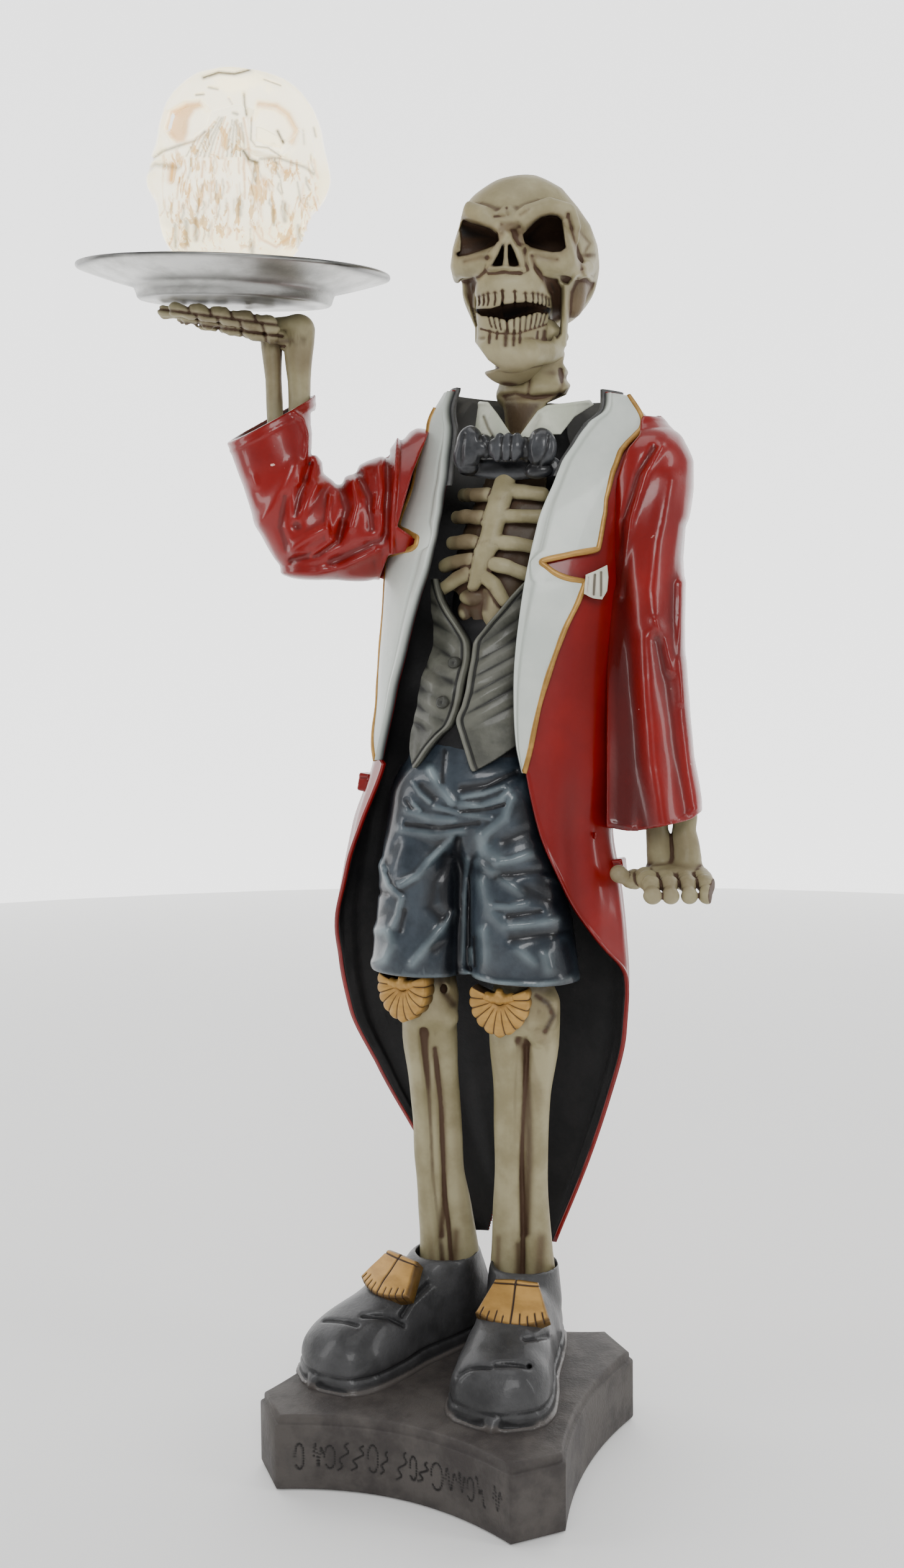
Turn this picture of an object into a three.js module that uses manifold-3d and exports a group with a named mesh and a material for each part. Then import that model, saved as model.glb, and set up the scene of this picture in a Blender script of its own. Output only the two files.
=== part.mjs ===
// Skeleton butler: a cast and painted resin figure in a tail-coat that holds up a tray with a clear skull.
// Millimetres, +Z up. The figure faces -Y and its left hand is on +X.
// The origin is the middle of the plinth's underside.
import * as THREE from 'three';
import { mergeVertices } from 'three/addons/utils/BufferGeometryUtils.js';
import Module from 'manifold-3d';

const wasm = await Module();
wasm.setup();

// Driving dimensions
const PLINTH = { width: 225, depth: 212, corner: 27.6, wall: 45, top: 50.7, inset: 2.5, frontSag: 20, sideSag: 10 };
const SHOE = { length: 163, heelBack: 35 };
const SHIN_TOP = 306;
const SHORTS_HEM = 337;
const COAT_THICKNESS = 5;
const LAPEL_RAISE = 3;
const SHOULDER_SLOPE = 0.11;
const HEAD = { x: 35, y: 78, z: 863, yaw: 6, tilt: 4 };
const TRAY = { x: -160, y: -8, foot: 825, radius: 113, height: 21, floor: 4, tiltToFront: 11, tiltToSide: 2.2 };
const VIEW_SIDE = 23;
const CLEAR_SKULL_SCALE = 1.26;
const CLEAR_SKULL_SQUASH = 0.97;
const TOUCH_GAP = 0.3;

const RAD = Math.PI / 180;
const V = (x, y, z) => new THREE.Vector3(x, y, z);
const lerp = THREE.MathUtils.lerp;

// Turns a closed geometry into a solid that can be joined and cut.
function solid(geometry) {
  geometry.deleteAttribute('normal');
  geometry.deleteAttribute('uv');
  const merged = mergeVertices(geometry, 1e-4);
  const mesh = new wasm.Mesh({
    numProp: 3,
    vertProperties: new Float32Array(merged.attributes.position.array),
    triVerts: new Uint32Array(merged.index.array),
  });
  return new wasm.Manifold(mesh);
}

const join = (solids) => solids.reduce((whole, next) => whole.add(next));

// Joining can leave slivers of no volume where two faces nearly meet. Only the largest body is kept.
function largest(whole) {
  return whole.decompose().reduce((best, next) => (next.volume() > best.volume() ? next : best));
}

function geometryOf(body) {
  const mesh = body.getMesh();
  const geometry = new THREE.BufferGeometry();
  geometry.setAttribute('position', new THREE.BufferAttribute(new Float32Array(mesh.vertProperties), 3));
  geometry.setIndex(new THREE.BufferAttribute(new Uint32Array(mesh.triVerts), 1));
  geometry.computeVertexNormals();
  return geometry;
}

function fromPoints(points, faces) {
  const geometry = new THREE.BufferGeometry();
  geometry.setAttribute('position', new THREE.Float32BufferAttribute(points.flatMap((p) => [p.x, p.y, p.z]), 3));
  geometry.setIndex(faces);
  return geometry;
}

// A closed body stretched over a stack of rings that all have the same number of points.
function loft(rings) {
  const n = rings[0].length;
  const points = rings.flat();
  const faces = [];
  for (let r = 0; r < rings.length - 1; r++) {
    for (let i = 0; i < n; i++) {
      const a = r * n + i;
      const b = r * n + ((i + 1) % n);
      faces.push(a, b, b + n, a, b + n, a + n);
    }
  }
  const middle = (ring) => ring.reduce((sum, p) => sum.add(p), V(0, 0, 0)).divideScalar(n);
  const last = (rings.length - 1) * n;
  const first = points.push(middle(rings[0])) - 1;
  const final = points.push(middle(rings[rings.length - 1])) - 1;
  for (let i = 0; i < n; i++) {
    faces.push(first, (i + 1) % n, i);
    faces.push(final, last + i, last + ((i + 1) % n));
  }
  return outward(fromPoints(points, faces));
}

// A closed sheet between two grids of points, with its rim closed. outer faces out.
function sheet(outer, inner) {
  const rows = outer.length;
  const cols = outer[0].length;
  const points = [...outer.flat(), ...inner.flat()];
  const at = (r, c) => r * cols + c;
  const back = rows * cols;
  const faces = [];
  for (let r = 0; r < rows - 1; r++) {
    for (let c = 0; c < cols - 1; c++) {
      faces.push(at(r, c), at(r, c + 1), at(r + 1, c + 1), at(r, c), at(r + 1, c + 1), at(r + 1, c));
      faces.push(back + at(r, c), back + at(r + 1, c + 1), back + at(r, c + 1));
      faces.push(back + at(r, c), back + at(r + 1, c), back + at(r + 1, c + 1));
    }
  }
  const rim = [];
  for (let c = 0; c < cols; c++) rim.push(at(0, c));
  for (let r = 1; r < rows; r++) rim.push(at(r, cols - 1));
  for (let c = cols - 2; c >= 0; c--) rim.push(at(rows - 1, c));
  for (let r = rows - 2; r > 0; r--) rim.push(at(r, 0));
  rim.forEach((a, i) => {
    const b = rim[(i + 1) % rim.length];
    faces.push(a, back + a, back + b, a, back + b, b);
  });
  return outward(fromPoints(points, faces));
}

// Flips a body's faces if they point inwards.
function outward(geometry) {
  const p = geometry.attributes.position;
  const index = geometry.index.array;
  let volume = 0;
  for (let i = 0; i < index.length; i += 3) {
    const [a, b, c] = [0, 1, 2].map((k) => V(0, 0, 0).fromBufferAttribute(p, index[i + k]));
    volume += a.dot(b.cross(c));
  }
  if (volume < 0) {
    for (let i = 0; i < index.length; i += 3) [index[i], index[i + 1]] = [index[i + 1], index[i]];
  }
  return solid(geometry);
}

// A level ring: an oval round (x, y) at height z, with reach rx across and ry front to back.
function level(x, y, z, rx, ry, sides, ripple = () => 0) {
  return Array.from({ length: sides }, (_, i) => {
    const a = (i / sides) * 2 * Math.PI;
    const grow = 1 + ripple(a, z);
    return V(x + Math.sin(a) * rx * grow, y - Math.cos(a) * ry * grow, z);
  });
}

// A tube through points, whose oval section has the reach [side, up] at each of them.
function tube(points, reach, sides, up = V(0, 0, 1)) {
  const rings = points.map((p, i) => {
    const before = points[Math.max(i - 1, 0)];
    const after = points[Math.min(i + 1, points.length - 1)];
    const along = after.clone().sub(before).normalize();
    const side = along.clone().cross(up).normalize();
    const top = side.clone().cross(along);
    const [rs, ru] = Array.isArray(reach[i]) ? reach[i] : [reach[i], reach[i]];
    return Array.from({ length: sides }, (_, k) => {
      const a = (k / sides) * 2 * Math.PI;
      return p.clone().addScaledVector(side, Math.cos(a) * rs).addScaledVector(top, Math.sin(a) * ru);
    });
  });
  return loft(rings);
}

// An egg-shaped blob, turned by degrees about X, Y and Z in turn.
function blob(x, y, z, rx, ry, rz, turn = [0, 0, 0], detail = 2) {
  const geometry = new THREE.IcosahedronGeometry(1, detail);
  geometry.scale(rx, ry, rz);
  geometry.rotateX(turn[0] * RAD).rotateY(turn[1] * RAD).rotateZ(turn[2] * RAD);
  geometry.translate(x, y, z);
  return solid(geometry);
}

function box(x, y, z, w, d, h, turnZ = 0) {
  const geometry = new THREE.BoxGeometry(w, d, h);
  geometry.rotateZ(turnZ * RAD).translate(x, y, z);
  return solid(geometry);
}

// Plinth: a square with cut corners and hollowed sides, and a small step round its top.
function plinthOutline(inset) {
  const x = PLINTH.width / 2 - inset;
  const y = PLINTH.depth / 2 - inset;
  const c = PLINTH.corner;
  const shape = new THREE.Shape();
  shape.moveTo(-x + c, -y);
  shape.quadraticCurveTo(0, -y + 2 * PLINTH.frontSag, x - c, -y);
  shape.lineTo(x, -y + c);
  shape.quadraticCurveTo(x - 2 * PLINTH.sideSag, 0, x, y - c);
  shape.lineTo(x - c, y);
  shape.quadraticCurveTo(0, y - 2 * PLINTH.frontSag, -x + c, y);
  shape.lineTo(-x, y - c);
  shape.quadraticCurveTo(-x + 2 * PLINTH.sideSag, 0, -x, -y + c);
  return shape;
}

function plinth() {
  const slab = (inset, height) => {
    return solid(new THREE.ExtrudeGeometry(plinthOutline(inset), { depth: height, bevelEnabled: false, curveSegments: 5 }));
  };
  return slab(0, PLINTH.wall).add(slab(PLINTH.inset, PLINTH.top));
}

// Shoes: each section gives the share of the length from the heel, half width and height over the plinth.
const SHOE_SECTIONS = [
  [0.0, 10, 40], [0.06, 23, 56], [0.3, 28, 64], [0.5, 29, 64],
  [0.66, 33, 51], [0.82, 35, 42], [0.93, 30, 34], [1.0, 10, 11],
];
const SHOE_SIDES = 11;

function shoe(ankleX, ankleY, toeOut) {
  const forward = V(Math.sin(toeOut * RAD), -Math.cos(toeOut * RAD), 0);
  const side = V(-forward.y, forward.x, 0);
  const heel = V(ankleX, ankleY, PLINTH.top - 1).addScaledVector(forward, -SHOE.heelBack);
  const rings = SHOE_SECTIONS.map(([share, half, height]) => {
    const centre = heel.clone().addScaledVector(forward, share * SHOE.length);
    return Array.from({ length: SHOE_SIDES }, (_, i) => {
      const a = (i / SHOE_SIDES) * 2 * Math.PI;
      const lift = Math.max(0, Math.sin(a)) ** 0.65 * (height + 1);
      const spread = Math.sign(Math.cos(a)) * Math.abs(Math.cos(a)) ** 0.8 * half;
      return centre.clone().addScaledVector(side, spread).add(V(0, 0, lift));
    });
  });
  const collar = loft([[98, 29, 35], [116, 27, 33]].map(([z, rx, ry]) => {
    return level(ankleX, ankleY - 2, z, rx, ry, SHOE_SIDES);
  }));
  return loft(rings).add(collar);
}

// The broad scalloped buckle on each instep.
function buckle(x, y, z, toeOut) {
  const shape = new THREE.Shape();
  shape.moveTo(-15, 14);
  shape.lineTo(15, 14);
  shape.lineTo(25, -9);
  shape.quadraticCurveTo(0, -24, -25, -9);
  const geometry = new THREE.ExtrudeGeometry(shape, { depth: 6, bevelEnabled: false, curveSegments: 5 });
  geometry.translate(0, 0, -3).rotateX(42 * RAD).rotateZ(toeOut * RAD).translate(x, y, z);
  return solid(geometry);
}

// Shin: two bones side by side. Each row gives x, y, z and the reach of a bone.
function shin(rows) {
  return join([0, 1].map((which) => {
    const points = rows.map((row) => V(...row[which].slice(0, 3)));
    return tube(points, rows.map((row) => row[which][3]), 7, V(0, 1, 0));
  }));
}

const RIGHT_SHIN = [
  [[-36, 58, 100, 13], [-17, 66, 100, 13]],
  [[-37, 56, 128, 12], [-18, 64, 128, 11]],
  [[-39, 52, 180, 11], [-24, 60, 180, 10]],
  [[-40, 49, 240, 12], [-26, 56, 240, 10.5]],
  [[-42, 46, 285, 15], [-28, 52, 285, 12]],
  [[-40, 46, SHIN_TOP, 16], [-27, 50, SHIN_TOP, 13]],
];
const LEFT_SHIN = [
  [[21, 58, 100, 13], [45, 64, 100, 13]],
  [[22, 57, 128, 12], [44, 63, 128, 11]],
  [[24, 54, 180, 11], [43, 60, 180, 10]],
  [[27, 51, 240, 12], [46, 56, 240, 10.5]],
  [[29, 47, 285, 15], [53, 52, 285, 12]],
  [[30, 46, SHIN_TOP, 17], [52, 50, SHIN_TOP, 14]],
];

// Kneecap: a scallop shell, with ridges that spread from a hinge at its top.
function shell(x, y, z, half, height, turn) {
  const ribs = 6;
  const rows = 3;
  const grid = (lift) => Array.from({ length: rows }, (_, r) => {
    const out = r / (rows - 1);
    return Array.from({ length: ribs * 2 + 1 }, (_, i) => {
      const a = lerp(-112, 112, i / (ribs * 2)) * RAD;
      const rim = height * (1 - 0.16 * Math.abs(Math.sin(a))) + (i % 2 ? 0.8 : 0);
      const reach = lerp(5, rim, out);
      const bulge = lift * (3 + 7 * Math.sin(Math.PI * (0.15 + 0.6 * out)) + (i % 2 ? 1.2 * out : 0));
      const wide = (Math.sin(a) * reach * half) / height;
      return V(wide, -bulge, height * 0.42 - Math.cos(a) * reach);
    });
  });
  const back = grid(0).map((row) => row.map((p) => p.clone().setY(6)));
  const place = (p) => p.applyAxisAngle(V(0, 0, 1), turn * RAD).add(V(x, y, z));
  const fan = sheet(grid(1).map((row) => row.map(place)), back.map((row) => row.map(place)));
  const hinge = blob(x, y - 3, z + height * 0.42, 8, 6, 5, [0, 0, turn], 0);
  return fan.add(hinge);
}

// Shorts: a seat and two wide legs, with slanting folds.
const fold = (count, depth, drift) => (a, z) => depth * Math.sin(count * a + z * drift);

function shorts() {
  const seat = loft([
    level(0, 52, 500, 50, 38, 12),
    level(0, 50, 460, 66, 44, 12, fold(4, 0.02, 0.1)),
    level(2, 50, 436, 54, 38, 12),
  ]);
  const leg = (x0, x1) => loft([[478, 14], [462, 32], [425, 35], [380, 38], [SHORTS_HEM, 40]].map(([z, half], i) => {
    const down = i / 4;
    return level(lerp(x0, x1, down), lerp(47, 42, down), z, half, half * lerp(1.15, 0.9, down), 13, fold(4, 0.05, 0.06));
  }));
  return seat.add(leg(-31, -38)).add(leg(32, 44));
}

// Trunk under the clothes, from the hips to the shoulders. Rows are x, y, z, reach across, reach front to back.
const TRUNK = [
  [0, 54, 470, 54, 40], [2, 55, 540, 42, 37], [8, 68, 580, 38, 31],
  [13, 67, 608, 42, 36], [24, 73, 655, 44, 36], [36, 84, 700, 42, 34], [40, 86, 730, 32, 26],
];

const RIB_DEPTH = 9;

function trunk() {
  const hollow = (z) => (z > 590 ? RIB_DEPTH : 0);
  const core = loft(TRUNK.map(([x, y, z, rx, ry]) => level(x, y, z, rx - hollow(z), ry - hollow(z), 10)));
  const shoulders = tube([V(-38, 90, 704), V(-20, 92, 708), V(106, 92, 708), V(124, 90, 704)], [14, 24, 24, 14], 6);
  return core.add(shoulders);
}

function trunkAt(z) {
  const next = TRUNK.findIndex((row) => row[2] > z);
  const [low, high] = [TRUNK[next - 1], TRUNK[next]];
  const share = (z - low[2]) / (high[2] - low[2]);
  return low.map((value, i) => lerp(value, high[i], share));
}

// Breastbone, five pairs of ribs and the stretch of spine that shows below them.
function ribcage() {
  const parts = [];
  const top = V(32, 36, 696);
  const bottom = V(9, 20, 611);
  parts.push(tube([top, top.clone().lerp(bottom, 0.5), bottom], [[11, 6], [10, 6], [8, 5]], 6, V(0, 1, 0)));
  for (let i = 0; i < 5; i++) {
    const z = 688 - i * 16.5;
    const [cx, cy, , rx, ry] = trunkAt(z);
    for (const side of [-1, 1]) {
      const path = [[5, 0], [36, 0], [66, 2], [88, 12]].map(([deg, inwards]) => {
        const a = deg * RAD * side;
        const drop = side * Math.sin(a) * 8;
        return V(cx + Math.sin(a) * (rx + 1 - inwards), cy - Math.cos(a) * (ry + 1.5), z - drop + 2);
      });
      parts.push(tube(path, [5.5, 5.5, 5, 4], 4));
    }
  }
  const spine = [564, 572, 580, 588, 596, 604];
  parts.push(tube(spine.map((z) => V(8, 40, z)), spine.map((_, i) => (i % 2 ? 10 : 7.5)), 6, V(0, 1, 0)));
  return join(parts);
}

// Waistcoat: two fronts that lie on the trunk. Rows are z, then x of the far and the near edge.
const VEST_RIGHT = [
  [620, -25, -19], [597, -24, -8], [573, -24, 7], [556, -26, 9], [536, -28, 8], [516, -32, 2], [500, -34, -16], [488, -31, -27],
];
const VEST_LEFT = [
  [618, 57, 50], [597, 58, 30], [573, 57, 11], [545, 56, 12], [519, 54, 5], [508, 50, 8], [496, 36, 12], [485, 20, 15],
];

function vestPoint(x, z, lift) {
  const [cx, cy, , rx, ry] = trunkAt(z);
  const across = Math.min(0.97, Math.abs(x - cx) / (rx + 16));
  return V(x, cy - Math.sqrt(1 - across ** 2) * (ry + 7 + lift), z);
}

function vestFront(rows, thick) {
  const cols = 4;
  const grid = (lift) => rows.map(([z, far, near]) => {
    return Array.from({ length: cols }, (_, c) => vestPoint(lerp(far, near, c / (cols - 1)), z, lift));
  });
  return sheet(grid(thick), grid(-12));
}

function vest() {
  const buttons = [[0, 560], [-5, 532]].map(([x, z]) => blob(x, vestPoint(x, z, 2).y, z, 5, 5, 5, [0, 0, 0], 0));
  return join([vestFront(VEST_RIGHT, 2), vestFront(VEST_LEFT, 3), ...buttons]);
}

// Tail-coat. Each row gives z, the middle x and y, the half width to the right and the left, front y, back y,
// and how far round from the front the right and the left edge stand, in degrees.
const COAT = [
  [764, 42, 82, 72, 70, 50, 116, 60, 58],
  [737, 43, 82, 92, 92, 45, 122, 42, 42],
  [700, 40, 80, 94, 98, 35, 122, 37, 20],
  [655, 24, 70, 91, 98, 18, 112, 27, 22],
  [600, 12, 63, 82, 101, 8, 101, 31, 24],
  [540, 2, 60, 76, 106, 5, 94, 39, 27],
  [490, 0, 62, 84, 106, 4, 95, 44, 31],
  [440, 0, 64, 103, 104, 4, 100, 56, 38],
  [398, -2, 66, 112, 112, 4, 106, 72, 48],
  [365, -3, 68, 118, 116, 4, 110, 81, 61],
  [332, -4, 72, 119, 118, 6, 113, 89, 82],
  [290, -5, 82, 116, 114, 32, 115, 90, 89],
  [240, -5, 94, 97, 99, 57, 116, 90, 90],
  [180, -1, 104, 70, 72, 66, 117, 90, 90],
  [112, 7, 108, 36, 36, 75, 117, 90, 90],
];
const COAT_COLUMNS = 10;
const VENT_TOP = 178;

function coatRow(z) {
  const found = COAT.findIndex((row) => row[0] <= z);
  const below = Math.max(found, 1);
  const [high, low] = [COAT[below - 1], COAT[below]];
  const share = (high[0] - z) / (high[0] - low[0]);
  return high.map((value, i) => lerp(value, low[i], share));
}

// The collar and the shoulders drop towards the figure's left.
function shoulderDrop(x, z) {
  const share = THREE.MathUtils.clamp((z - 690) / 47, 0, 1);
  return Math.max(0, x + 20) * SHOULDER_SLOPE * share;
}

// A point of the coat: round is the angle from the front, positive to the figure's left; lift goes outwards.
function coatPoint(row, round, lift) {
  const [z, cx, cy, right, left, front, back] = row;
  const a = round * RAD;
  const half = Math.sin(a) < 0 ? right : left;
  const reach = Math.cos(a) > 0 ? cy - front : back - cy;
  const x = cx + Math.sin(a) * (half + lift);
  return V(x, cy - Math.cos(a) * (reach + lift), z - shoulderDrop(x, z));
}

// Lapels: bands along both front edges that stand out from the coat. Rows are z and the angle of the outer edge.
const LAPEL_LEFT = [[764, 76], [737, 68], [700, 58], [655, 54], [640, 50], [629, 32], [618, 48], [540, 43], [490, 33]];
const LAPEL_RIGHT = [[764, 72], [737, 58], [700, 60], [655, 38], [640, 60], [600, 64], [540, 64], [490, 50]];

function bandEdge(rows, z, edge) {
  if (z > rows[0][0] || z < rows[rows.length - 1][0]) return edge;
  const next = Math.max(1, rows.findIndex((row) => row[0] <= z));
  const [high, low] = [rows[next - 1], rows[next]];
  return Math.max(edge, lerp(high[1], low[1], (high[0] - z) / (high[0] - low[0])));
}

// One row of the coat's grid as [angle, lift]: the two lapels, the step at their edges, then the plain back.
function coatColumns(row) {
  const [z, right, left] = [row[0], row[7], row[8]];
  const outerLeft = bandEdge(LAPEL_LEFT, z, left);
  const outerRight = bandEdge(LAPEL_RIGHT, z, right);
  const raise = (outer, edge) => (outer > edge ? LAPEL_RAISE : 0);
  const [liftLeft, liftRight] = [raise(outerLeft, left), raise(outerRight, right)];
  const step = 2;
  const columns = [[left, liftLeft], [outerLeft, liftLeft]];
  for (let c = 0; c < COAT_COLUMNS; c++) {
    columns.push([lerp(outerLeft + step, 360 - outerRight - step, c / (COAT_COLUMNS - 1)), 0]);
  }
  columns.push([360 - outerRight, liftRight], [360 - right, liftRight]);
  return columns;
}

function coatBody() {
  const heights = [...new Set([...COAT, ...LAPEL_LEFT, ...LAPEL_RIGHT].map((row) => row[0]))].sort((a, b) => b - a);
  const grid = (inset) => heights.map((z) => {
    const row = coatRow(z);
    return coatColumns(row).map(([angle, lift]) => coatPoint(row, angle, inset ? -COAT_THICKNESS : lift));
  });
  const body = sheet(grid(false), grid(true));
  const vent = new THREE.Shape([new THREE.Vector2(2, VENT_TOP), new THREE.Vector2(-20, 100), new THREE.Vector2(30, 100)]);
  const notch = new THREE.ExtrudeGeometry(vent, { depth: 60, bevelEnabled: false });
  notch.rotateX(90 * RAD).translate(0, 140, 0);
  return body.subtract(solid(notch));
}

// Left sleeve hangs straight, with long folds and a wide open cuff.
function leftSleeve() {
  const creases = fold(5, 0.035, 0.004);
  const rows = [
    [112, 86, 722, 14, 18], [124, 84, 712, 26, 30], [129, 82, 690, 31, 38], [131, 79, 650, 30, 39],
    [131, 74, 600, 28, 36], [133, 70, 540, 29, 35], [135, 67, 485, 32, 36], [137, 64, 442, 34, 38],
  ];
  const slant = (ring, last) => ring.map((p) => V(p.x, p.y, p.z + (last ? (p.x - 137) * 0.22 : 0)));
  const outside = loft(rows.map(([x, y, z, rx, ry], i) => slant(level(x, y, z, rx, ry, 12, creases), i === 7)));
  const inside = loft([
    level(136, 66, 456, 25, 28, 8),
    level(138, 62, 420, 31, 36, 8),
  ]);
  return outside.subtract(inside);
}

// Right sleeve goes out to a bent elbow and up to a flared cuff.
function rightSleeve() {
  const path = [
    [V(-20, 84, 688), 24, 38], [V(-42, 68, 682), 38, 58], [V(-64, 50, 673), 37, 54], [V(-90, 30, 661), 34, 42],
    [V(-112, 15, 657), 31, 40], [V(-124, 8, 678), 32, 31], [V(-130, 5, 706), 32, 31], [V(-137, 2, 738), 34, 35],
  ];
  const aim = [
    V(-1, -0.2, -0.1), V(-1, -0.5, -0.3), V(-1, -0.75, -0.25), V(-1, -0.7, -0.1),
    V(-0.9, -0.5, 0.75), V(-0.5, -0.2, 1), V(-0.3, -0.12, 1), V(-0.5, -0.2, 1),
  ];
  const creases = [0, 0.02, 0.05, 0.06, 0.05, 0.04, 0.02, 0];
  const ringAt = (i, shrink, sides, slide = 0) => {
    const [centre, rs, ru] = path[i];
    const along = aim[i].clone().normalize();
    const side = V(-0.39, 0.92, 0).cross(along).normalize();
    const out = along.clone().cross(side).normalize();
    return Array.from({ length: sides }, (_, k) => {
      const a = (k / sides) * 2 * Math.PI;
      const grow = shrink * (1 + creases[i] * Math.sin(4 * a + i * 1.7));
      return centre.clone().addScaledVector(along, slide)
        .addScaledVector(side, Math.cos(a) * rs * grow).addScaledVector(out, Math.sin(a) * ru * grow);
    });
  };
  const outside = loft(path.map((_, i) => ringAt(i, 1, 12)));
  const inside = loft([ringAt(6, 0.78, 10), ringAt(7, 0.9, 10, 16)]);
  return outside.subtract(inside);
}

// Forearm bones inside each cuff.
function forearm(a, b, radiusA, radiusB) {
  const bone = (ends, r) => {
    const stops = [0, 0.12, 0.3, 1];
    return tube(stops.map((t) => ends[0].clone().lerp(ends[1], t)), [r * 1.3, r * 1.4, r, r], 6, V(0, 1, 0));
  };
  return bone(a, radiusA).add(bone(b, radiusB));
}

// A finger: a chain of thick-jointed bones along a bent path.
function finger(points, radius) {
  const curve = new THREE.CatmullRomCurve3(points);
  const steps = 4;
  const path = [];
  const reach = [];
  for (let i = 0; i <= steps; i++) {
    path.push(curve.getPointAt(i / steps));
    reach.push(radius * (i === steps ? 0.55 : i % 2 === 0 ? 1.1 : 0.86));
  }
  return tube(path, reach, 5);
}

// Raised right hand in the tray's frame: palm up under the foot, fingers towards the figure's right.
function rightHand() {
  const palm = tube([V(39, 16, -21), V(22, 11, -15), V(0, 6, -10)], [[20, 8], [28, 9], [31, 7]], 8);
  const fingers = [
    [V(32, -10, -15), V(-6, -24, -8), V(-34, -31, -5)],
    [V(26, 1, -14), V(-18, -11, -7), V(-52, -19, -5)],
    [V(24, 13, -14), V(-24, 2, -7), V(-61, -5, -5)],
    [V(24, 25, -14), V(-22, 17, -7), V(-54, 11, -5)],
    [V(34, 32, -16), V(8, 45, -11), V(-20, 51, -7)],
  ];
  const hand = join([palm, ...fingers.map((points) => finger(points, 5.8))]);
  const foot = new THREE.BoxGeometry(150, 150, 60);
  foot.translate(0, 0, 30 - TOUCH_GAP);
  return placed(hand.subtract(solid(foot)), trayMatrix());
}

// Left hand: held flat below the cuff, palm down, fingers to the front, thumb to the middle.
function leftHand() {
  const parts = [tube([V(144, 74, 412), V(149, 60, 410), V(155, 44, 407)], [[20, 8], [24, 8], [24, 7]], 8)];
  [-19, -6.5, 6, 18.5].forEach((offset) => {
    const start = V(149 + offset * 0.92, 56 + offset * 0.39, 409);
    const middle = start.clone().add(V(11, -24, -2));
    const end = middle.clone().add(V(5, -13, -6));
    parts.push(finger([start, middle, end], 5.8));
  });
  parts.push(finger([V(134, 56, 408), V(123, 46, 406), V(115, 36, 411)], 6.2));
  return join(parts);
}

function neck() {
  const rows = [[730, 24], [744, 27], [753, 31], [764, 24], [775, 28], [786, 24], [800, 26]];
  return loft(rows.map(([z, r], i) => level(42 - i * 0.5, 80 - i * 0.4, z, r, r * 0.85, 10)));
}

// Shirt collar wings and the bow tie in front of them.
function neckwear() {
  const wing = (side) => {
    const outline = [V(-2 * side, 1 - side, -8), V(30 * side, 6, 2), V(33 * side, 22, 28), V(14 * side, 14, 26)];
    const at = (p, push) => p.clone().add(V(37, 44 + push, 728));
    const grid = (push) => [[at(outline[0], push), at(outline[1], push)], [at(outline[3], push), at(outline[2], push)]];
    return sheet(grid(0), grid(12));
  };
  const lobe = (side) => tube(
    [V(33, 37, 706), V(33 + 12 * side, 37, 706), V(33 + 27 * side, 39, 707 - side), V(33 + 38 * side, 43, 708 - side * 3)],
    [[6, 6], [6, 10], [7, 16], [5, 14]], 6);
  return join([wing(-1), wing(1), lobe(-1), lobe(1), box(33, 34, 706, 13, 12, 17)]);
}

// Pocket handkerchief and the two small buttons at the back of the waist.
function trimmings() {
  const pocket = [0, 1].map((r) => [0, 1].map((c) => coatPoint(coatRow(632 - r * 22), 60 - c * 10, 0)));
  const square = sheet(
    pocket.map((row) => row.map((p) => p.clone().add(V(2, -4, 0)))),
    pocket.map((row) => row.map((p) => p.clone().add(V(-2, 5, 0)))));
  const tab = (z, round) => {
    const at = coatPoint(coatRow(z), round, 0);
    return box(at.x, at.y, z, 7, 12, 14, 0);
  };
  return join([square, tab(472, -84), tab(412, 86)]);
}

// A row of teeth: an arc that stands out at each tooth and steps back between them.
function teeth(z, middle) {
  const columns = 13;
  const grid = (depth) => [5.5, -5.5].map((up) => Array.from({ length: columns }, (_, c) => {
    const a = lerp(-66, 66, c / (columns - 1)) * RAD;
    const reach = c % 2 ? 1 : -1.5;
    return V(Math.sin(a) * (24 + reach - depth), middle - Math.cos(a) * (31 + reach - depth), z + up);
  }));
  return sheet(grid(0), grid(8));
}

// A skull about its own middle, facing -Y. gape opens the mouth, dome scales the height of the crown, and lift
// raises the face on the cranium.
// Rows of the cranium are z, then the reach to the front, to the sides and to the back.
const SKULL = [
  [51, 15, 15, 17], [43, 35, 35, 41], [25, 50, 49, 58], [9, 58, 52, 63], [-7, 55, 51, 61],
  [-20, 53, 49, 55], [-33, 54, 38, 42], [-50, 56, 26, 20],
];
// Rows of the jaw are z, the middle y and the reach across and front to back.
const JAW = [[2, -28, 28, 22], [-8, -30, 30, 24], [-17, -33, 25, 20], [-23, -36, 16, 12]];
const JAW_HINGE = -62;
const BROW = 9;
const FACE_FADE = 29;

function skullRing([z, front, side, back], sides) {
  return Array.from({ length: sides }, (_, i) => {
    const a = (i / sides) * 2 * Math.PI;
    const ahead = Math.cos(a) > 0 ? front : back;
    const square = Math.cos(a) > 0 ? 0.8 : 1;
    return V(Math.sign(Math.sin(a)) * Math.abs(Math.sin(a)) ** square * side, -Math.cos(a) * ahead, z);
  });
}

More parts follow.
